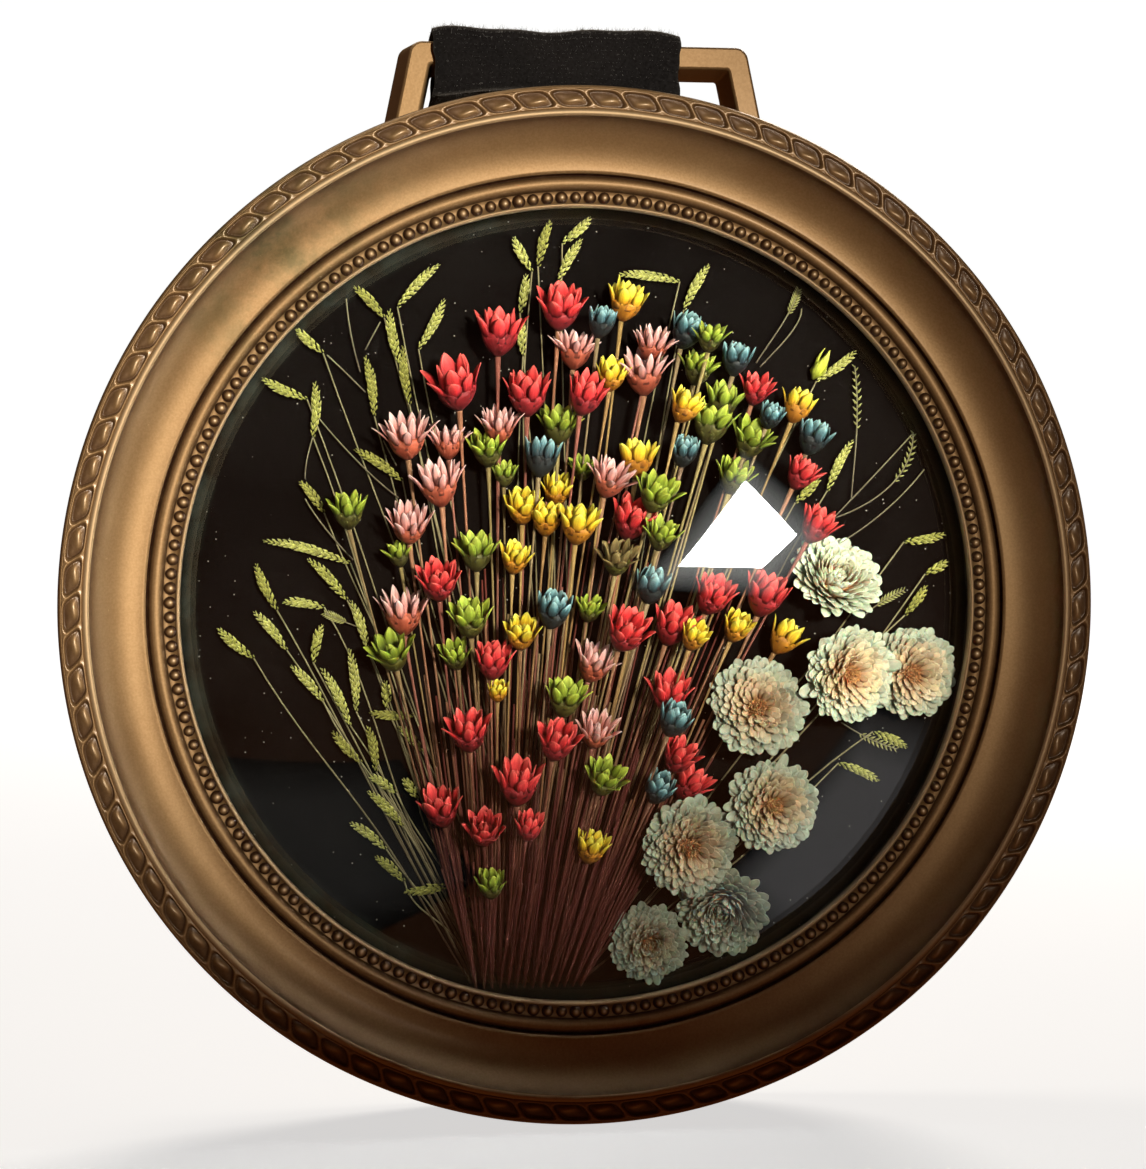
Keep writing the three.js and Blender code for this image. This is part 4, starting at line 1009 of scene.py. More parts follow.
def hair_tubes(paths, radii, sides):
    """Round tubes along paths of shape (tubes, points, 3), with a radius at each point."""
    along = unit(np.gradient(paths, axis=1))
    a, b = basis(along)
    turn = np.linspace(0, TURN, sides, endpoint=False)
    ring = a[:, :, None] * np.cos(turn)[:, None] + b[:, :, None] * np.sin(turn)[:, None]
    return paths[:, :, None] + ring * radii[..., None, None]

# %% [markdown]
# ## Where each flower stands
# A head is given by its place in the picture and its size. Its depth follows from how the bouquet
# is laid: the longest stems lie at the back, and each shorter one comes forward until its head and
# stem are clear of those behind it. A head that would meet the glass is made a little smaller. This
# is the same rule that the CAD model follows.

# %% Bouquet rule
# Place in the picture and size of each head, by colour
HEADS = {
    "red": [
        (560, 302, 1), (498, 328, 1), (458, 379, 1.1), (528, 388, 1), (582, 389, 0.9), (437, 574, 0.9),
        (469, 725, 0.9), (556, 734, 0.95), (519, 777, 1), (440, 800, 0.9), (484, 820, 0.8),
        (528, 820, 0.95), (630, 512, 0.95), (624, 622, 0.95), (673, 618, 0.95), (491, 654, 0.85),
        (713, 588, 0.9), (769, 590, 1), (676, 688, 0.9), (679, 748, 0.8), (690, 777, 0.85),
        (757, 385, 0.7), (800, 468, 0.75), (817, 520, 0.85),
    ],
    "pink": [
        (575, 345, 0.85), (653, 340, 0.8), (649, 368, 1), (405, 431, 1), (447, 437, 0.75),
        (499, 421, 0.8), (440, 478, 1), (406, 517, 0.9), (607, 472, 0.85), (399, 607, 1),
        (592, 656, 0.85), (597, 723, 0.8),
    ],
    "yellow": [
        (624, 297, 0.85), (612, 370, 0.7), (798, 402, 0.75), (682, 400, 0.75), (640, 454, 0.85),
        (557, 484, 0.7), (523, 500, 0.8), (547, 513, 0.75), (578, 518, 0.9), (513, 552, 0.7),
        (521, 626, 0.75), (498, 684, 0.5), (695, 630, 0.65), (738, 621, 0.7), (785, 632, 0.8),
        (593, 841, 0.75),
    ],
    "green": [
        (712, 333, 0.75), (698, 364, 0.85), (725, 397, 0.8), (712, 418, 0.95), (751, 434, 0.85),
        (735, 471, 0.8), (560, 420, 0.85), (488, 443, 0.8), (504, 469, 0.55), (583, 463, 0.55),
        (655, 487, 0.85), (343, 506, 0.8), (476, 546, 0.85), (398, 549, 0.55), (662, 529, 0.7),
        (619, 552, 0.75), (470, 612, 0.85), (391, 645, 0.85), (457, 648, 0.65), (589, 602, 0.6),
        (566, 692, 0.85), (604, 770, 0.8), (493, 878, 0.65),
    ],
    "blue": [
        (600, 317, 0.7), (685, 326, 0.8), (738, 355, 0.75), (771, 411, 0.6), (814, 433, 0.8),
        (540, 452, 0.85), (686, 446, 0.7), (552, 603, 0.85), (653, 580, 0.8), (675, 713, 0.8),
        (659, 780, 0.75),
    ],
}
# Where all stems point, in the picture
FAN = (526, 1137)
BUNCHES = 14
CLEARANCE = 0.3
# Sizes that follow the opening, as in the CAD model
STAR_RADIUS, STAR_HEIGHT = OPENING_RADIUS * 0.0536, OPENING_RADIUS * 0.0873
STEM_RADIUS = OPENING_RADIUS * 0.00475
STEM_SPACING = OPENING_RADIUS * 0.0102
GRASS_STEM = OPENING_RADIUS * 0.00275
GRASS_EAR = OPENING_RADIUS * 0.0106
GRASS_STEM_Y = VELVET_FRONT_Y - CLEARANCE - GRASS_STEM
GRASS_EAR_Y = GRASS_STEM_Y - GRASS_STEM - CLEARANCE - GRASS_EAR
STAR_BACK_Y = GRASS_STEM_Y - GRASS_STEM - CLEARANCE
HEAD_BACK_Y = GRASS_EAR_Y - GRASS_EAR - CLEARANCE
BUNDLE_WIDTH = OPENING_RADIUS * 0.287
BUNDLE_X = placed(FAN[0], PICTURE[1] / 2, STAR_BACK_Y)[0]
BUTT_HEIGHT = OPENING_RADIUS * 0.03
BUTT_RADIUS = 82.0
BUTT_Z = -math.sqrt(BUTT_RADIUS ** 2 - (abs(BUNDLE_X) + BUNDLE_WIDTH / 2) ** 2) + BUTT_HEIGHT / 2
FORWARD_STEP = OPENING_RADIUS * 0.0062
SHRINK, SHRINK_TRIES = 0.93, 6
# Heads of one bunch may stand this close, as a share of their radii together
CROWDING = 0.62


def glass_inside(radius):
    """The glass's inner face at a distance from the axis."""
    return GLASS_CENTRE[1] - math.sqrt(INNER_GLASS ** 2 - radius ** 2)


def to_stretch(points, start, end):
    """Least distance from points to the straight stretch from start to end."""
    run = end - start
    share = np.clip((points - start) @ run / (run @ run), 0, 1)
    return np.linalg.norm(points - (start + share[..., None] * run), axis=-1).min()


def stands_clear(flower, other):
    """Whether a head and its stem keep off another's. Stems are straight runs from base to foot."""
    between = np.linalg.norm(flower["centre"] - other["centre"])
    if flower["bunch"] == other["bunch"]:
        return between > (flower["radius"] + other["radius"]) * CROWDING
    if between <= flower["girth"] + other["girth"]:
        return False
    room = STEM_RADIUS + CLEARANCE
    if to_stretch(flower["centre"], other["base"], other["foot"]) <= flower["girth"] + room:
        return False
    if to_stretch(other["centre"], flower["base"], flower["foot"]) <= other["girth"] + room:
        return False
    steps = math.ceil(np.linalg.norm(flower["foot"] - flower["base"]) / (2 * STEM_RADIUS))
    points = flower["base"] + np.linspace(0, 1, steps + 1)[:, None] * (flower["foot"] - flower["base"])
    return to_stretch(points, other["base"], other["foot"]) > 2 * STEM_RADIUS


def found_room(flower, others):
    """Brings a flower forward in small steps. True if it stood clear before it met the glass."""
    flower["girth"] = math.hypot(flower["radius"], flower["height"] / 4)
    y = HEAD_BACK_Y - flower["radius"]
    while True:
        flower["centre"] = placed(flower["x"], flower["y"], y)
        flower["way"] = unit(flower["centre"] - flower["base"])
        flower["foot"] = flower["centre"] - flower["way"] * flower["height"] / 2
        outermost = math.hypot(flower["centre"][0], flower["centre"][2]) + flower["radius"]
        if y < glass_inside(outermost) + flower["girth"] + CLEARANCE:
            return False
        if all(stands_clear(flower, other) for other in others):
            return True
        y -= FORWARD_STEP


flowers = [{"dye": dye, "x": x, "y": y, "radius": STAR_RADIUS * size, "height": STAR_HEIGHT * size,
            "angle": math.atan2(x - FAN[0], FAN[1] - y), "reach": math.hypot(x - FAN[0], FAN[1] - y)}
           for dye, heads in HEADS.items() for x, y, size in heads]
flowers.sort(key=lambda f: f["angle"])
for rank, flower in enumerate(flowers):
    flower["bunch"] = rank * BUNCHES // len(flowers)
flowers.sort(key=lambda f: -f["reach"])
arranged = []
for flower in flowers:
    behind = sum(f["bunch"] == flower["bunch"] and f["reach"] > flower["reach"] for f in flowers)
    flower["base"] = np.array([BUNDLE_X + ((flower["bunch"] + 0.5) / BUNCHES - 0.5) * BUNDLE_WIDTH,
                               STAR_BACK_Y - STEM_RADIUS - behind * STEM_SPACING, BUTT_Z])
    for _ in range(SHRINK_TRIES):
        if found_room(flower, arranged):
            break
        flower["radius"] *= SHRINK
        flower["height"] *= SHRINK
    arranged.append(flower)
print("flowers:", len(arranged), "deepest", round(min(f["centre"][1] for f in arranged), 1))

# %% [markdown]
# ## Starflowers
# A head is a dark cup with two rings of scales, then two rings of stiff petals, and four closed
# ones in the middle. The cup is a short tube, the scales and petals are blades set round it, and
# the stem is a thin tube that swells into the cup. Every head leans and opens a little differently.
# Beside each whole stem stand three broken ones that lost their heads, two of them wine red.

# %% Starflower shapes
# Each colour's petals and its cup from foot to tip, and its stem
DYES = {
    "red": [(0x5E0A0E, 0xB41E24, 0xE64040, 0xFF7468), (0x30060A, 0x641014, 0x941E22), 0x8A4440],
    "pink": [(0x8A4638, 0xD0867A, 0xF0B2AA, 0xFFE0DA), (0x4A1C10, 0x863A26, 0xB25C40), 0x965C50],
    "yellow": [(0x84500C, 0xD2A018, 0xF4DC34, 0xFFF76A), (0x4A280A, 0x8E560E, 0xBC8016), 0x9A8044],
    "green": [(0x30360C, 0x66781A, 0x97AC30, 0xC8D858), (0x1E1C08, 0x38340E, 0x545418), 0x80804E],
    "blue": [(0x10181A, 0x243C42, 0x4A767C, 0xB0E0E0), (0x0C100F, 0x161B1B, 0x242C2C), 0x6E6A56],
}
# Petals in a ring, half-width, lean and curl of each colour's petals
STYLES = {"red": (7, 0.34, 0.20, 0.05), "pink": (9, 0.23, 0.42, 0.10), "yellow": (6, 0.38, 0.16, -0.1),
          "green": (7, 0.36, 0.34, 0.0), "blue": (7, 0.37, 0.10, -0.40)}
# One green head has faded to olive
OLIVE_HEAD, OLIVE_DYE = (619, 552), (0x3A3018, 0x62542E, 0x7E6E42, 0x9A8A56)
CUP_COLUMNS = 14
SCALES = 14
PETAL_ROWS = 8
# Points round a blade, as blades() makes them
BLADE_COLUMNS = 6
STEM_POINTS, STEM_SIDES = 14, 7


def blend_dye(stops, share):
    """Colours along a petal: from foot to tip through the stops, share from 0 to 1."""
    stops = np.array([colour(s) for s in stops])
    at = np.linspace(0, 1, len(stops))
    return np.stack([np.interp(share, at, stops[:, k]) for k in range(3)], -1)


def shade_rings(count, rows, columns, stops, tint):
    """A dye for every point of some tubes: the stops from foot to tip, times each tube's tint."""
    along = along_blade(rows)
    dye = blend_dye(stops, along)[None, :, None] * tint[:, None, None, None]
    return np.broadcast_to(dye, (count, rows, columns, 3)).reshape(-1, 3)


def cup_foot(flower):
    """Where the stem meets its cup."""
    return flower["centre"] - flower["way"] * (flower["height"] * 0.68 + 1.2)


def star_head(flower):
    """Cup, scales and petals of one head, as three lots of tubes."""
    petal_dye, cup_dye, _ = DYES[flower["dye"]]
    if (flower["x"], flower["y"]) == OLIVE_HEAD:
        petal_dye = OLIVE_DYE
    radius, height = flower["radius"] * 1.06, flower["height"] * 1.36
    lean = random.normal(0, 0.10, 2) + [0, 0.10 + 0.30 * random.random()]
    axis = unit(flower["way"] + lean[0] * RIGHT - lean[1] * np.array([0, 1, 0]))
    a, b = basis(axis)
    foot = cup_foot(flower)
    turn = np.linspace(0, TURN, CUP_COLUMNS, endpoint=False)
    # The cup's outline: shares of the radius out and of the height up
    cup_share = np.array([[0.08, 0.0], [0.20, 0.03], [0.42, 0.12], [0.62, 0.24], [0.76, 0.38], [0.80, 0.50],
                          [0.66, 0.53], [0.1, 0.44]])
    lobes = 1 + 0.04 * np.cos(turn * 7 + random.random() * 6)
    ring = a * np.cos(turn)[:, None] + b * np.sin(turn)[:, None]
    cup = (foot + axis * (cup_share[:, 1:] * height)[:, None]
           + ring[None] * (cup_share[:, :1] * radius * lobes)[..., None])
    petal_count, half_width, petal_lean, petal_curl = STYLES[flower["dye"]]
    petal_lean = petal_lean * (0.5 + 1.0 * random.random())
    # Each ring: how many, how far out and up they start, length, half-width, lean and curl.
    # The first two are the cup's scales.
    specs = [(SCALES // 2, 0.36, 0.10, 0.26, 0.26, 0.70, -0.3),
             (SCALES // 2, 0.68, 0.30, 0.22, 0.32, 0.34, -0.1),
             (petal_count, 0.76, 0.42, 0.50, half_width, petal_lean + 0.18, petal_curl + 0.1),
             (petal_count, 0.60, 0.44, 0.56, half_width, petal_lean * 0.55, petal_curl - 0.1),
             (4, 0.24, 0.40, 0.40, half_width * 0.7, 0.0, -0.25)]
    feet, outs, lengths, widths, flares, curls = [], [], [], [], [], []
    for count, out_share, up_share, length, width, flare, curl in specs:
        angle = (np.arange(count) + random.random()) / count * TURN + random.normal(0, 0.06, count)
        out = a * np.cos(angle)[:, None] + b * np.sin(angle)[:, None]
        feet.append(foot + axis * up_share * height + out * out_share * radius)
        outs.append(out)
        lengths.append(length * height * (1 + random.normal(0, 0.07, count)))
        widths.append(radius * width * (1 + random.normal(0, 0.1, count)))
        flares.append(flare + random.normal(0, 0.07, count))
        curls.append(curl + random.normal(0, 0.08, count))
    feet, outs = np.concatenate(feet), np.concatenate(outs)
    petals = blades(feet, np.broadcast_to(axis, feet.shape), outs, np.concatenate(lengths),
                    np.concatenate(widths), np.concatenate(flares), np.concatenate(curls),
                    0.34, 0.12, PETAL_ROWS, petal_width)
    tint = 1 + random.normal(0, 0.10, len(petals))
    cup_tint = np.array([1 + random.normal(0, 0.08)])
    cup_shade = shade_rings(1, len(cup_share), CUP_COLUMNS, cup_dye, cup_tint)
    scale_shade = shade_rings(SCALES, PETAL_ROWS, BLADE_COLUMNS, cup_dye, tint[:SCALES])
    petal_shade = shade_rings(len(petals) - SCALES, PETAL_ROWS, BLADE_COLUMNS, petal_dye, tint[SCALES:])
    return [tubes(cup[None], cup_shade), tubes(petals[:SCALES], scale_shade),
            tubes(petals[SCALES:], petal_shade)]


def star_stem(flower, reach=1.0, wine=False):
    """A stem from the bundle to its cup, bowed a little, thick under the cup and thin below. With
    a smaller reach it is a broken one that stops on the way, beside the whole one. The wine red
    ones are thinner."""
    s = np.linspace(0, 1, STEM_POINTS)
    span = (cup_foot(flower) - flower["base"]) * reach
    if reach < 1:
        span = span + random.normal(0, 0.035, 1) * np.linalg.norm(span) * RIGHT
    bow = random.normal(0, 0.006, 2) * np.linalg.norm(span)
    aside = bow[0] * RIGHT + [0, 0.3 * bow[1], 0]
    path = flower["base"] + s[:, None] * span + np.sin(np.pi * s)[:, None] * aside
    size = flower["radius"] / STAR_RADIUS
    neck = 0.34 * np.exp(-((1 - s) / 0.05) ** 2) * (reach == 1)
    radii = (0.22 + 0.05 * s + neck) * size ** 0.5 * (0.8 if wine else 1)
    # From a dark red foot, partly the stems' own red and partly painted shade low in the bundle, it turns to
    # a mix of straw and its flower's own colour
    tall = path[:, 2]
    upper = colour(DYES[flower["dye"]][2]) * (1 + random.normal(0, 0.15))
    straw = colour([0x94784A, 0x7A523A, 0xA08658][random.integers(3)])
    low = colour(0x5E2A20)
    share = ease((tall - tall[0] - 14) / 75)[:, None]
    dye = low * (1 - share) + (0.5 * upper + 0.5 * straw) * share
    if wine:
        dye = colour(0x4E1812) * (1 - share) + colour(0x642A1E) * share
    return tubes(hair_tubes(path[None], radii[None], STEM_SIDES), np.repeat(dye, STEM_SIDES, axis=0))

# %% Starflower bunches
for bunch in range(BUNCHES):
    mine = [f for f in arranged if f["bunch"] == bunch]
    parts, slots = [], []
    for flower in mine:
        stems = [star_stem(flower), star_stem(flower, 0.35 + 0.4 * random.random())]
        stems.extend(star_stem(flower, 0.4 + 0.35 * random.random(), True) for _ in range(2))
        head = star_head(flower)
        parts.extend(stems + head)
        slots.extend([0] * len(stems) + [1] * len(head))
    made = piece(f"starflowers_{bunch + 1}", parts, [stem_skin, petal_skin], slots)
    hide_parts(f"starflower_bunch_{bunch + 1}")
    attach(made, "frame_body")

# %% [markdown]
# ## Grasses
# An ear is a stalk of pointed husks that overlap like roof tiles, in five ranks from left to right,
# so its outline is finely toothed. Its stem is a hair 0.4 mm thick that lies on the velvet and
# lifts to the ear. Some sprays also have wisps, finer hairs that bear tiny husks in two ranks or
# none, and one has a closed pod.

# %% Grass ears
# Tip and foot of each ear in the picture, by spray
EARS = {
    "low_left": [
        (217, 625, 255, 658), (252, 609, 288, 650), (348, 820, 387, 848), (374, 854, 405, 880),
        (256, 560, 278, 610), (289, 663, 324, 701), (324, 622, 314, 662), (332, 728, 362, 762),
        (319, 663, 351, 725), (367, 722, 377, 771), (348, 643, 357, 711), (365, 788, 404, 825),
        (281, 602, 325, 607), (368, 774, 397, 792),
    ],
    "left": [
        (305, 556, 348, 600), (385, 679, 387, 708), (349, 597, 368, 648), (299, 480, 325, 513),
        (403, 777, 418, 798), (256, 540, 351, 563), (315, 378, 314, 438), (260, 377, 308, 400),
        (401, 890, 451, 883), (397, 724, 423, 751), (367, 711, 415, 715), (296, 328, 324, 354),
    ],
    "upper_left": [
        (364, 352, 375, 417), (351, 448, 403, 481), (352, 286, 385, 319), (390, 306, 400, 365),
        (404, 342, 410, 405), (444, 263, 398, 308), (446, 296, 419, 350),
    ],
    "top": [
        (526, 273, 520, 314), (523, 319, 523, 357), (513, 236, 532, 273), (552, 219, 538, 268),
        (584, 238, 558, 282), (592, 217, 562, 245),
    ],
    "upper_right": [(613, 276, 679, 283), (711, 263, 683, 311)],
    "right": [(857, 349, 815, 382), (820, 474, 794, 503), (854, 437, 826, 491)],
    "low_right": [
        (946, 533, 902, 542), (946, 560, 923, 574), (925, 583, 903, 615), (880, 782, 837, 762),
        (907, 748, 871, 731),
    ],
}
FEWEST_HUSKS, HUSK_SPACING = 20, 0.26
HUSK_RANKS = np.array([-1.0, 0.5, 0.0, 1.0, -0.5])
HUSK_LENGTH, HUSK_HALF_WIDTH, HUSK_ROWS = 1.5, 0.36, 6
# Foot, middle and tip of a husk: three mixes of green and straw
HUSK_DYES = [(0x4E5418, 0xA6AA46, 0xE0DF90), (0x5A5E20, 0xB2B654, 0xE8E8A0), (0x4C4C18, 0x94963A, 0xCCCA74)]


def husk_width(s):
    """Share of a husk's width: widest a third of the way up, with a long point."""
    return np.sin(np.pi * np.clip(s, 0, 1) ** 0.6) * 0.9 + 0.1 * (1 - s) + 0.03


def ear_tubes(foot, tip):
    """Husks along the line from foot to tip, smaller at both ends."""
    length = np.linalg.norm(tip - foot)
    axis = unit(tip - foot)
    side = unit(np.cross(axis, [0, 1, 0]))
    count = max(FEWEST_HUSKS, int(length / HUSK_SPACING))
    at = np.linspace(0, 0.90, count)
    fullness = 0.30 + 0.70 * np.sin(np.pi * np.clip(at * 1.08 + 0.04, 0, 1)) ** 0.8
    hand = HUSK_RANKS[np.arange(count) % len(HUSK_RANKS)][:, None]
    bend = 0.04 * length * np.sin(np.pi * at)[:, None] * side * random.choice([-1, 1])
    feet = foot + axis * (at * length)[:, None] + bend + side * hand * 0.42 * fullness[:, None]
    # The husks lie flat on the velvet, each turned outwards from the stalk to its own side
    swing = 0.30 * np.abs(hand) + 0.07 * random.standard_normal((count, 1))
    axes = unit(axis * np.cos(swing) + side * np.sign(hand) * np.sin(swing))
    outs = unit(np.cross(np.cross(axes, [0, -1, 0]), axes) + side * hand * 0.5)
    flare = 0.12 + 0.06 * random.standard_normal(count)
    husks = blades(feet, axes, outs, HUSK_LENGTH * fullness, HUSK_HALF_WIDTH * fullness, flare,
                   np.full(count, -0.10), -0.6, 0.24, HUSK_ROWS, husk_width)
    tint = 1 + random.normal(0, 0.12, count)
    dye = HUSK_DYES[random.integers(len(HUSK_DYES))]
    return tubes(husks, shade_rings(count, HUSK_ROWS, BLADE_COLUMNS, dye, tint))


HAIR_SIDES = 5


def grass_stem(base, foot):
    """A hair that lies on the velvet, bows a little to one side and lifts at its ear."""
    s = np.linspace(0, 1, 16)
    flat_foot = np.array([foot[0], GRASS_STEM_Y, foot[2]])
    span = flat_foot - base
    side = unit(np.cross(span, [0, 1, 0]))
    bow = np.sin(np.pi * s) ** 1.5 * random.normal(0, 1.3) + np.sin(TURN * s) * s * random.normal(0, 0.9)
    path = base + s[:, None] * span + bow[:, None] * side
    path[:, 1] += (foot[1] - GRASS_STEM_Y) * ease((s - 0.88) / 0.12)
    radii = 0.22 - 0.06 * s
    dye = blend_dye((0x4A2A1C, 0x7A7050, 0x9C966E), s)
    return tubes(hair_tubes(path[None], radii[None], HAIR_SIDES), np.repeat(dye, HAIR_SIDES, axis=0))

# %% Wisps and the pod
# Fine wisps: for each spray, points of the picture from foot to tip, and the share of the wisp
# that bears little husks like a herringbone
WISPS = {
    "upper_right": [((755, 364), (768, 343), (791, 315), (797, 291), 0.32),
                    ((759, 368), (775, 350), (801, 327), (800, 310), 0.0)],
    "right": [((850, 499), (850, 478), (860, 425), (853, 367), 0.38),
              ((834, 518), (868, 506), (912, 480), (911, 433), 0.42),
              ((825, 551), (872, 525), (901, 497), (922, 470), 0.0),
              ((832, 518), (849, 501), (882, 466), (910, 435), 0.0),
              ((860, 618), (872, 606), (884, 598), (902, 590), 0.6)],
    "left": [((399, 498), (369, 476), (338, 441), (319, 418), 0.0),
             ((354, 560), (333, 539), (314, 514), (306, 499), 0.0),
             ((306, 479), (306, 466), (309, 452), (314, 437), 0.0),
             ((366, 393), (354, 381), (341, 368), (328, 356), 0.0),
             ((357, 626), (345, 622), (336, 617), (325, 613), 0.7)],
    "upper_left": [((361, 373), (354, 350), (349, 325), (347, 300), 0.0),
                   ((366, 351), (371, 341), (376, 332), (381, 323), 0.0),
                   ((397, 466), (392, 457), (388, 449), (384, 441), 0.0)],
    "low_right": [((840, 722), (852, 730), (872, 742), (895, 748), 0.6)],
}
WISP_POINTS, WISP_RADIUS, WISP_HUSKS = 40, 0.15, 18


def wisp_parts(corners, husked):
    """A hair along the smooth (Bezier) line of four points, and the husks on its last stretch."""
    t = np.linspace(0, 1, WISP_POINTS)[:, None]
    a, b, c, d = [placed(*corner, GRASS_EAR_Y + 0.3) for corner in corners]
    path = (1 - t) ** 3 * a + 3 * t * (1 - t) ** 2 * b + 3 * t ** 2 * (1 - t) * c + t ** 3 * d
    hair_dye = np.repeat(blend_dye((0x6E6450, 0x8E8A68), t[:, 0]), HAIR_SIDES, axis=0)
    parts = [tubes(hair_tubes(path[None], np.full((1, WISP_POINTS), WISP_RADIUS), HAIR_SIDES), hair_dye)]
    if husked:
        count = WISP_HUSKS
        at = 1 - husked * np.linspace(1, 0.02, count)
        feet = np.stack([np.interp(at, t[:, 0], path[:, k]) for k in range(3)], 1)
        along = unit(np.stack([np.interp(at, t[:, 0], np.gradient(path[:, k])) for k in range(3)], 1))
        hand = np.where(np.arange(count) % 2, 1.0, -1.0)[:, None]
        side = unit(np.cross(along, [0, 1, 0])) * hand
        axes = unit(along + side * 0.9)
        size = 0.5 + 0.5 * np.sin(np.pi * np.linspace(0.15, 0.95, count))
        forward = np.broadcast_to([0.0, -1.0, 0.0], axes.shape)
        husks = blades(feet, axes, forward, HUSK_LENGTH * size, 0.26 * size, np.full(count, 0.1),
                       np.zeros(count), -0.3, 0.2, HUSK_ROWS, husk_width)
        husk_dye = (0x4E5018, 0x9A9C50, 0xC8C890)
        parts.append(tubes(husks, shade_rings(count, HUSK_ROWS, BLADE_COLUMNS, husk_dye, np.ones(count))))
    return parts


POD_FOOT, POD_TIP = (811, 380), (827, 350)
POD_LEAVES = 3


def seed_pod():
    """A closed yellow-green pod, as three broad blades that meet at their tips."""
    foot, tip = placed(*POD_FOOT, GRASS_EAR_Y), placed(*POD_TIP, GRASS_EAR_Y)
    axis = unit(tip - foot)
    a, b = basis(axis)
    turn = np.arange(POD_LEAVES) / POD_LEAVES * TURN
    outs = a * np.cos(turn)[:, None] + b * np.sin(turn)[:, None]
    length, half_width, flare, curl = (np.full(POD_LEAVES, value)
                                       for value in (np.linalg.norm(tip - foot), 1.7, 0.42, -0.85))
    leaves = blades(foot + outs * 0.2, np.broadcast_to(axis, outs.shape), outs, length, half_width,
                    flare, curl, 0.4, 0.2, PETAL_ROWS, husk_width)
    return tubes(leaves, shade_rings(POD_LEAVES, PETAL_ROWS, BLADE_COLUMNS, (0x6A7418, 0xB8C238, 0xE4EA6A),
                                     np.ones(POD_LEAVES)))

# %% Sprays
# The stems' butts lie side by side in the bundle, in the order of their sprays and their angles
EAR_STEP, SPRAY_STEP = OPENING_RADIUS * 0.005, OPENING_RADIUS * 0.0075
ear_list = [{"spray": spray, "group": group, "tip": placed(tip_x, tip_y, GRASS_EAR_Y),
             "foot": placed(x, y, GRASS_EAR_Y), "angle": math.atan2(x - FAN[0], FAN[1] - y)}
            for group, (spray, rows) in enumerate(EARS.items()) for tip_x, tip_y, x, y in rows]
ear_list.sort(key=lambda e: (e["group"], e["angle"]))
for rank, ear in enumerate(ear_list):
    place = (rank - (len(ear_list) - 1) / 2) * EAR_STEP + (ear["group"] - (len(EARS) - 1) / 2) * SPRAY_STEP
    ear["base"] = np.array([BUNDLE_X + place, GRASS_STEM_Y, BUTT_Z])
for spray in EARS:
    mine = [e for e in ear_list if e["spray"] == spray]
    parts = []
    for ear in mine:
        parts.append(grass_stem(ear["base"], ear["foot"]))
        parts.append(ear_tubes(ear["foot"], ear["tip"]))
    for *corners, husked in WISPS.get(spray, []):
        parts.extend(wisp_parts(corners, husked))
    if spray == "right":
        parts.append(seed_pod())
    made = piece(f"grasses_{spray}", parts, [grass_skin])
    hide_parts(f"grass_spray_{spray}")
    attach(made, "frame_body")

# %% [markdown]
# ## Strawflowers
# A strawflower's petals are papery bracts in a spiral. The golden angle puts each one in the
# widest gap left by those before it. In the middle is a tan tuft of florets, upright needles that
# lean out towards the tuft's rim. Round it the petals get longer, wider and flatter, and their tips
# go from cream to a pale grey-green. Two of the eight are half closed, and a stub joins each to
# the velvet.

# %% Strawflowers
STRAW = [
    # place in the picture, size, shares of the room that it stands off and fills, its lean, how far it is
    # open, and how light it is: the lower ones are painted darker, a painted shade, and the highest one
    # lighter
    (834, 585, 1, 0, 0.4, (0.3, 0.8), 0, 1.55), (846, 673, 1, 0.39, 0.42, (0.3, -0.1), 1, 1.2),
    (909, 673, 0.98, 0, 0.63, (0.1, 0.0), 1, 0.88), (757, 710, 1, 0.31, 0.33, (-0.05, 0.3), 1, 0.8),
    (771, 805, 0.96, 0.39, 0.4, (0.15, 0.05), 1, 0.8), (687, 846, 1, 0.41, 0.4, (0.2, -0.05), 1, 0.68),
    (725, 906, 0.98, 0, 0.6, (-0.35, -0.3), 0, 0.9), (648, 943, 0.8, 0, 0.53, (0.0, 0.1), 0.6, 0.72),
]
GOLDEN_ANGLE = math.pi * (3 - math.sqrt(5))
BRACTS, FLORETS = 260, 60
STRAW_RADIUS = OPENING_RADIUS * 0.130
HEART_COLUMNS = 16
STUB_POINTS, STUB_RADIUS, STUB_SIDES = 3, 0.8, 8
STUB_FOOT_Y = VELVET_FRONT_Y - CLEARANCE


def bract_width(s):
    """Share of a bract's width: a narrow foot that widens to a round tip."""
    return (0.40 + 0.60 * ease(s * 1.4)) * (1 - s ** 6) ** 0.5 + 0.04


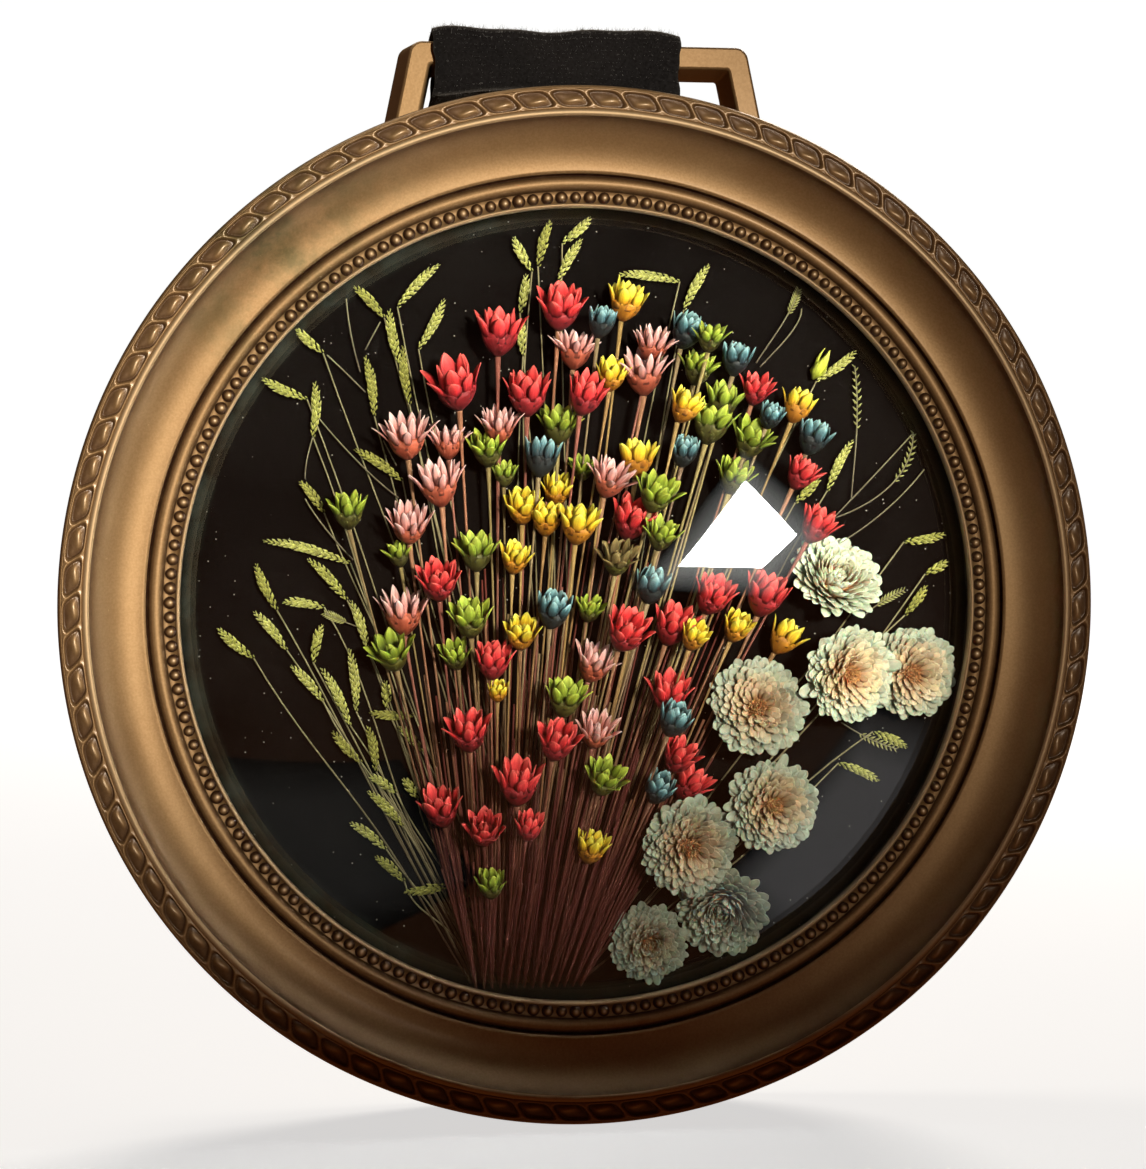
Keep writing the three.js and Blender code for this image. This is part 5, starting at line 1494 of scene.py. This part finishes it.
def straw_head(x, y, size, back_share, fill_share, lean, openness, light):
    """Heart, bracts and stub of one strawflower, in the room between the velvet and the glass."""
    near = HEAD_BACK_Y + GRASS_EAR
    on_velvet = placed(x, y, near)
    room = near - glass_inside(math.hypot(on_velvet[0], on_velvet[2]))
    thickness, radius = room * fill_share, STRAW_RADIUS * size
    back = near - room * back_share
    centre = placed(x, y, back - thickness / 2)
    foot = np.array([centre[0], back, centre[2]])
    axis = unit(np.array([lean[0], -1.0, lean[1]]) * [0.8, 1, 0.8])
    a, b = basis(axis)
    order = np.arange(BRACTS)
    # The first bracts are the tuft of florets in the middle: upright needles. The others are
    # petals, which lie the flatter the further out they stand, and more so in an open flower.
    floret = order < FLORETS
    share = np.where(floret, 0.26 * np.sqrt((order + 0.5) / FLORETS),
                     np.sqrt(0.07 + 0.93 * np.clip((order - FLORETS) / (BRACTS - FLORETS), 0, 1)))
    angle = order * GOLDEN_ANGLE
    out = a * np.cos(angle)[:, None] + b * np.sin(angle)[:, None]
    wobble = random.normal(0, 1, (4, BRACTS))
    feet = (foot + axis * (thickness * (0.44 - 0.36 * share ** 2))[:, None]
            + out * (radius * 0.50 * share)[:, None])
    lengths = radius * np.where(floret, 0.17, 0.27 + 0.27 * share) * (1 + 0.09 * wobble[0])
    widths = radius * np.where(floret, 0.022, 0.045 + 0.085 * share) * (1 + 0.14 * wobble[1])
    shut = 1.22 * share ** 1.6
    spread = np.where(floret, 1.2 * share, 0.62 + 0.66 * share ** 1.3)
    flare = shut * (1 - openness) + spread * openness + 0.10 * wobble[2]
    curl = np.where(floret, 0.0, -0.50 + 0.36 * share) + 0.22 * wobble[3]
    bracts = blades(feet, np.broadcast_to(axis, feet.shape), out, lengths, widths, flare, curl,
                    0.30, 0.12, PETAL_ROWS, bract_width)
    cream, pale = colour(0xDCCAA4), colour(0xB4BEA6)
    cream = cream * openness + colour(0xC6CEB6) * (1 - openness)
    far = ease((share - 0.50) / 0.35)[:, None]
    tip_colour = cream * (1 - far) + pale * far
    # The bracts' feet are darker than their tips: painted shade in the gaps between them
    foot_colour = colour(0xB48254) * (1 - far) + colour(0x6A6A54) * far
    tuft = colour(0xD8A870) * openness + cream * (1 - openness)
    tip_colour = np.where(floret[:, None], tuft, tip_colour)
    fade = ease(along_blade(PETAL_ROWS) * 1.15)[None, :, None]
    # light makes a whole flower lighter high up and darker low down: painted light and shade
    tint = light * (1 + 0.08 * random.standard_normal(BRACTS))[:, None, None]
    dye = (foot_colour[:, None] * (1 - fade) + tip_colour[:, None] * fade) * tint
    dye = np.broadcast_to(dye[:, :, None], (BRACTS, PETAL_ROWS, BLADE_COLUMNS, 3)).reshape(-1, 3)
    heart_turn = np.linspace(0, TURN, HEART_COLUMNS, endpoint=False)
    heart_share = np.array([[0.05, 0.0], [0.3, 0.04], [0.42, 0.16], [0.34, 0.34], [0.12, 0.42]])
    ring = a * np.cos(heart_turn)[:, None] + b * np.sin(heart_turn)[:, None]
    heart = (foot + axis * (heart_share[:, 1:] * thickness)[:, None]
             + ring[None] * (heart_share[:, :1] * radius * np.ones(HEART_COLUMNS))[..., None])
    heart_dye = shade_rings(1, len(heart_share), HEART_COLUMNS, (0x8A6A40, 0xC8935C), np.ones(1))
    low, high = np.array([centre[0], STUB_FOOT_Y, centre[2]]), foot + axis * thickness * 0.1
    stub_path = low + np.linspace(0, 1, STUB_POINTS)[:, None] * (high - low)
    stub = hair_tubes(stub_path[None], np.full((1, STUB_POINTS), STUB_RADIUS), STUB_SIDES)
    stub_dye = shade_rings(1, STUB_POINTS, STUB_SIDES, (0x4A4428, 0x6E6A40), np.ones(1))
    return [tubes(heart[None], heart_dye), tubes(bracts, dye), tubes(stub, stub_dye)]


for number, row in enumerate(STRAW):
    made = piece(f"papery_flower_{number + 1}", straw_head(*row), [paper_petal])
    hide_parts(f"strawflower_{number + 1}")
    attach(made, "frame_body")
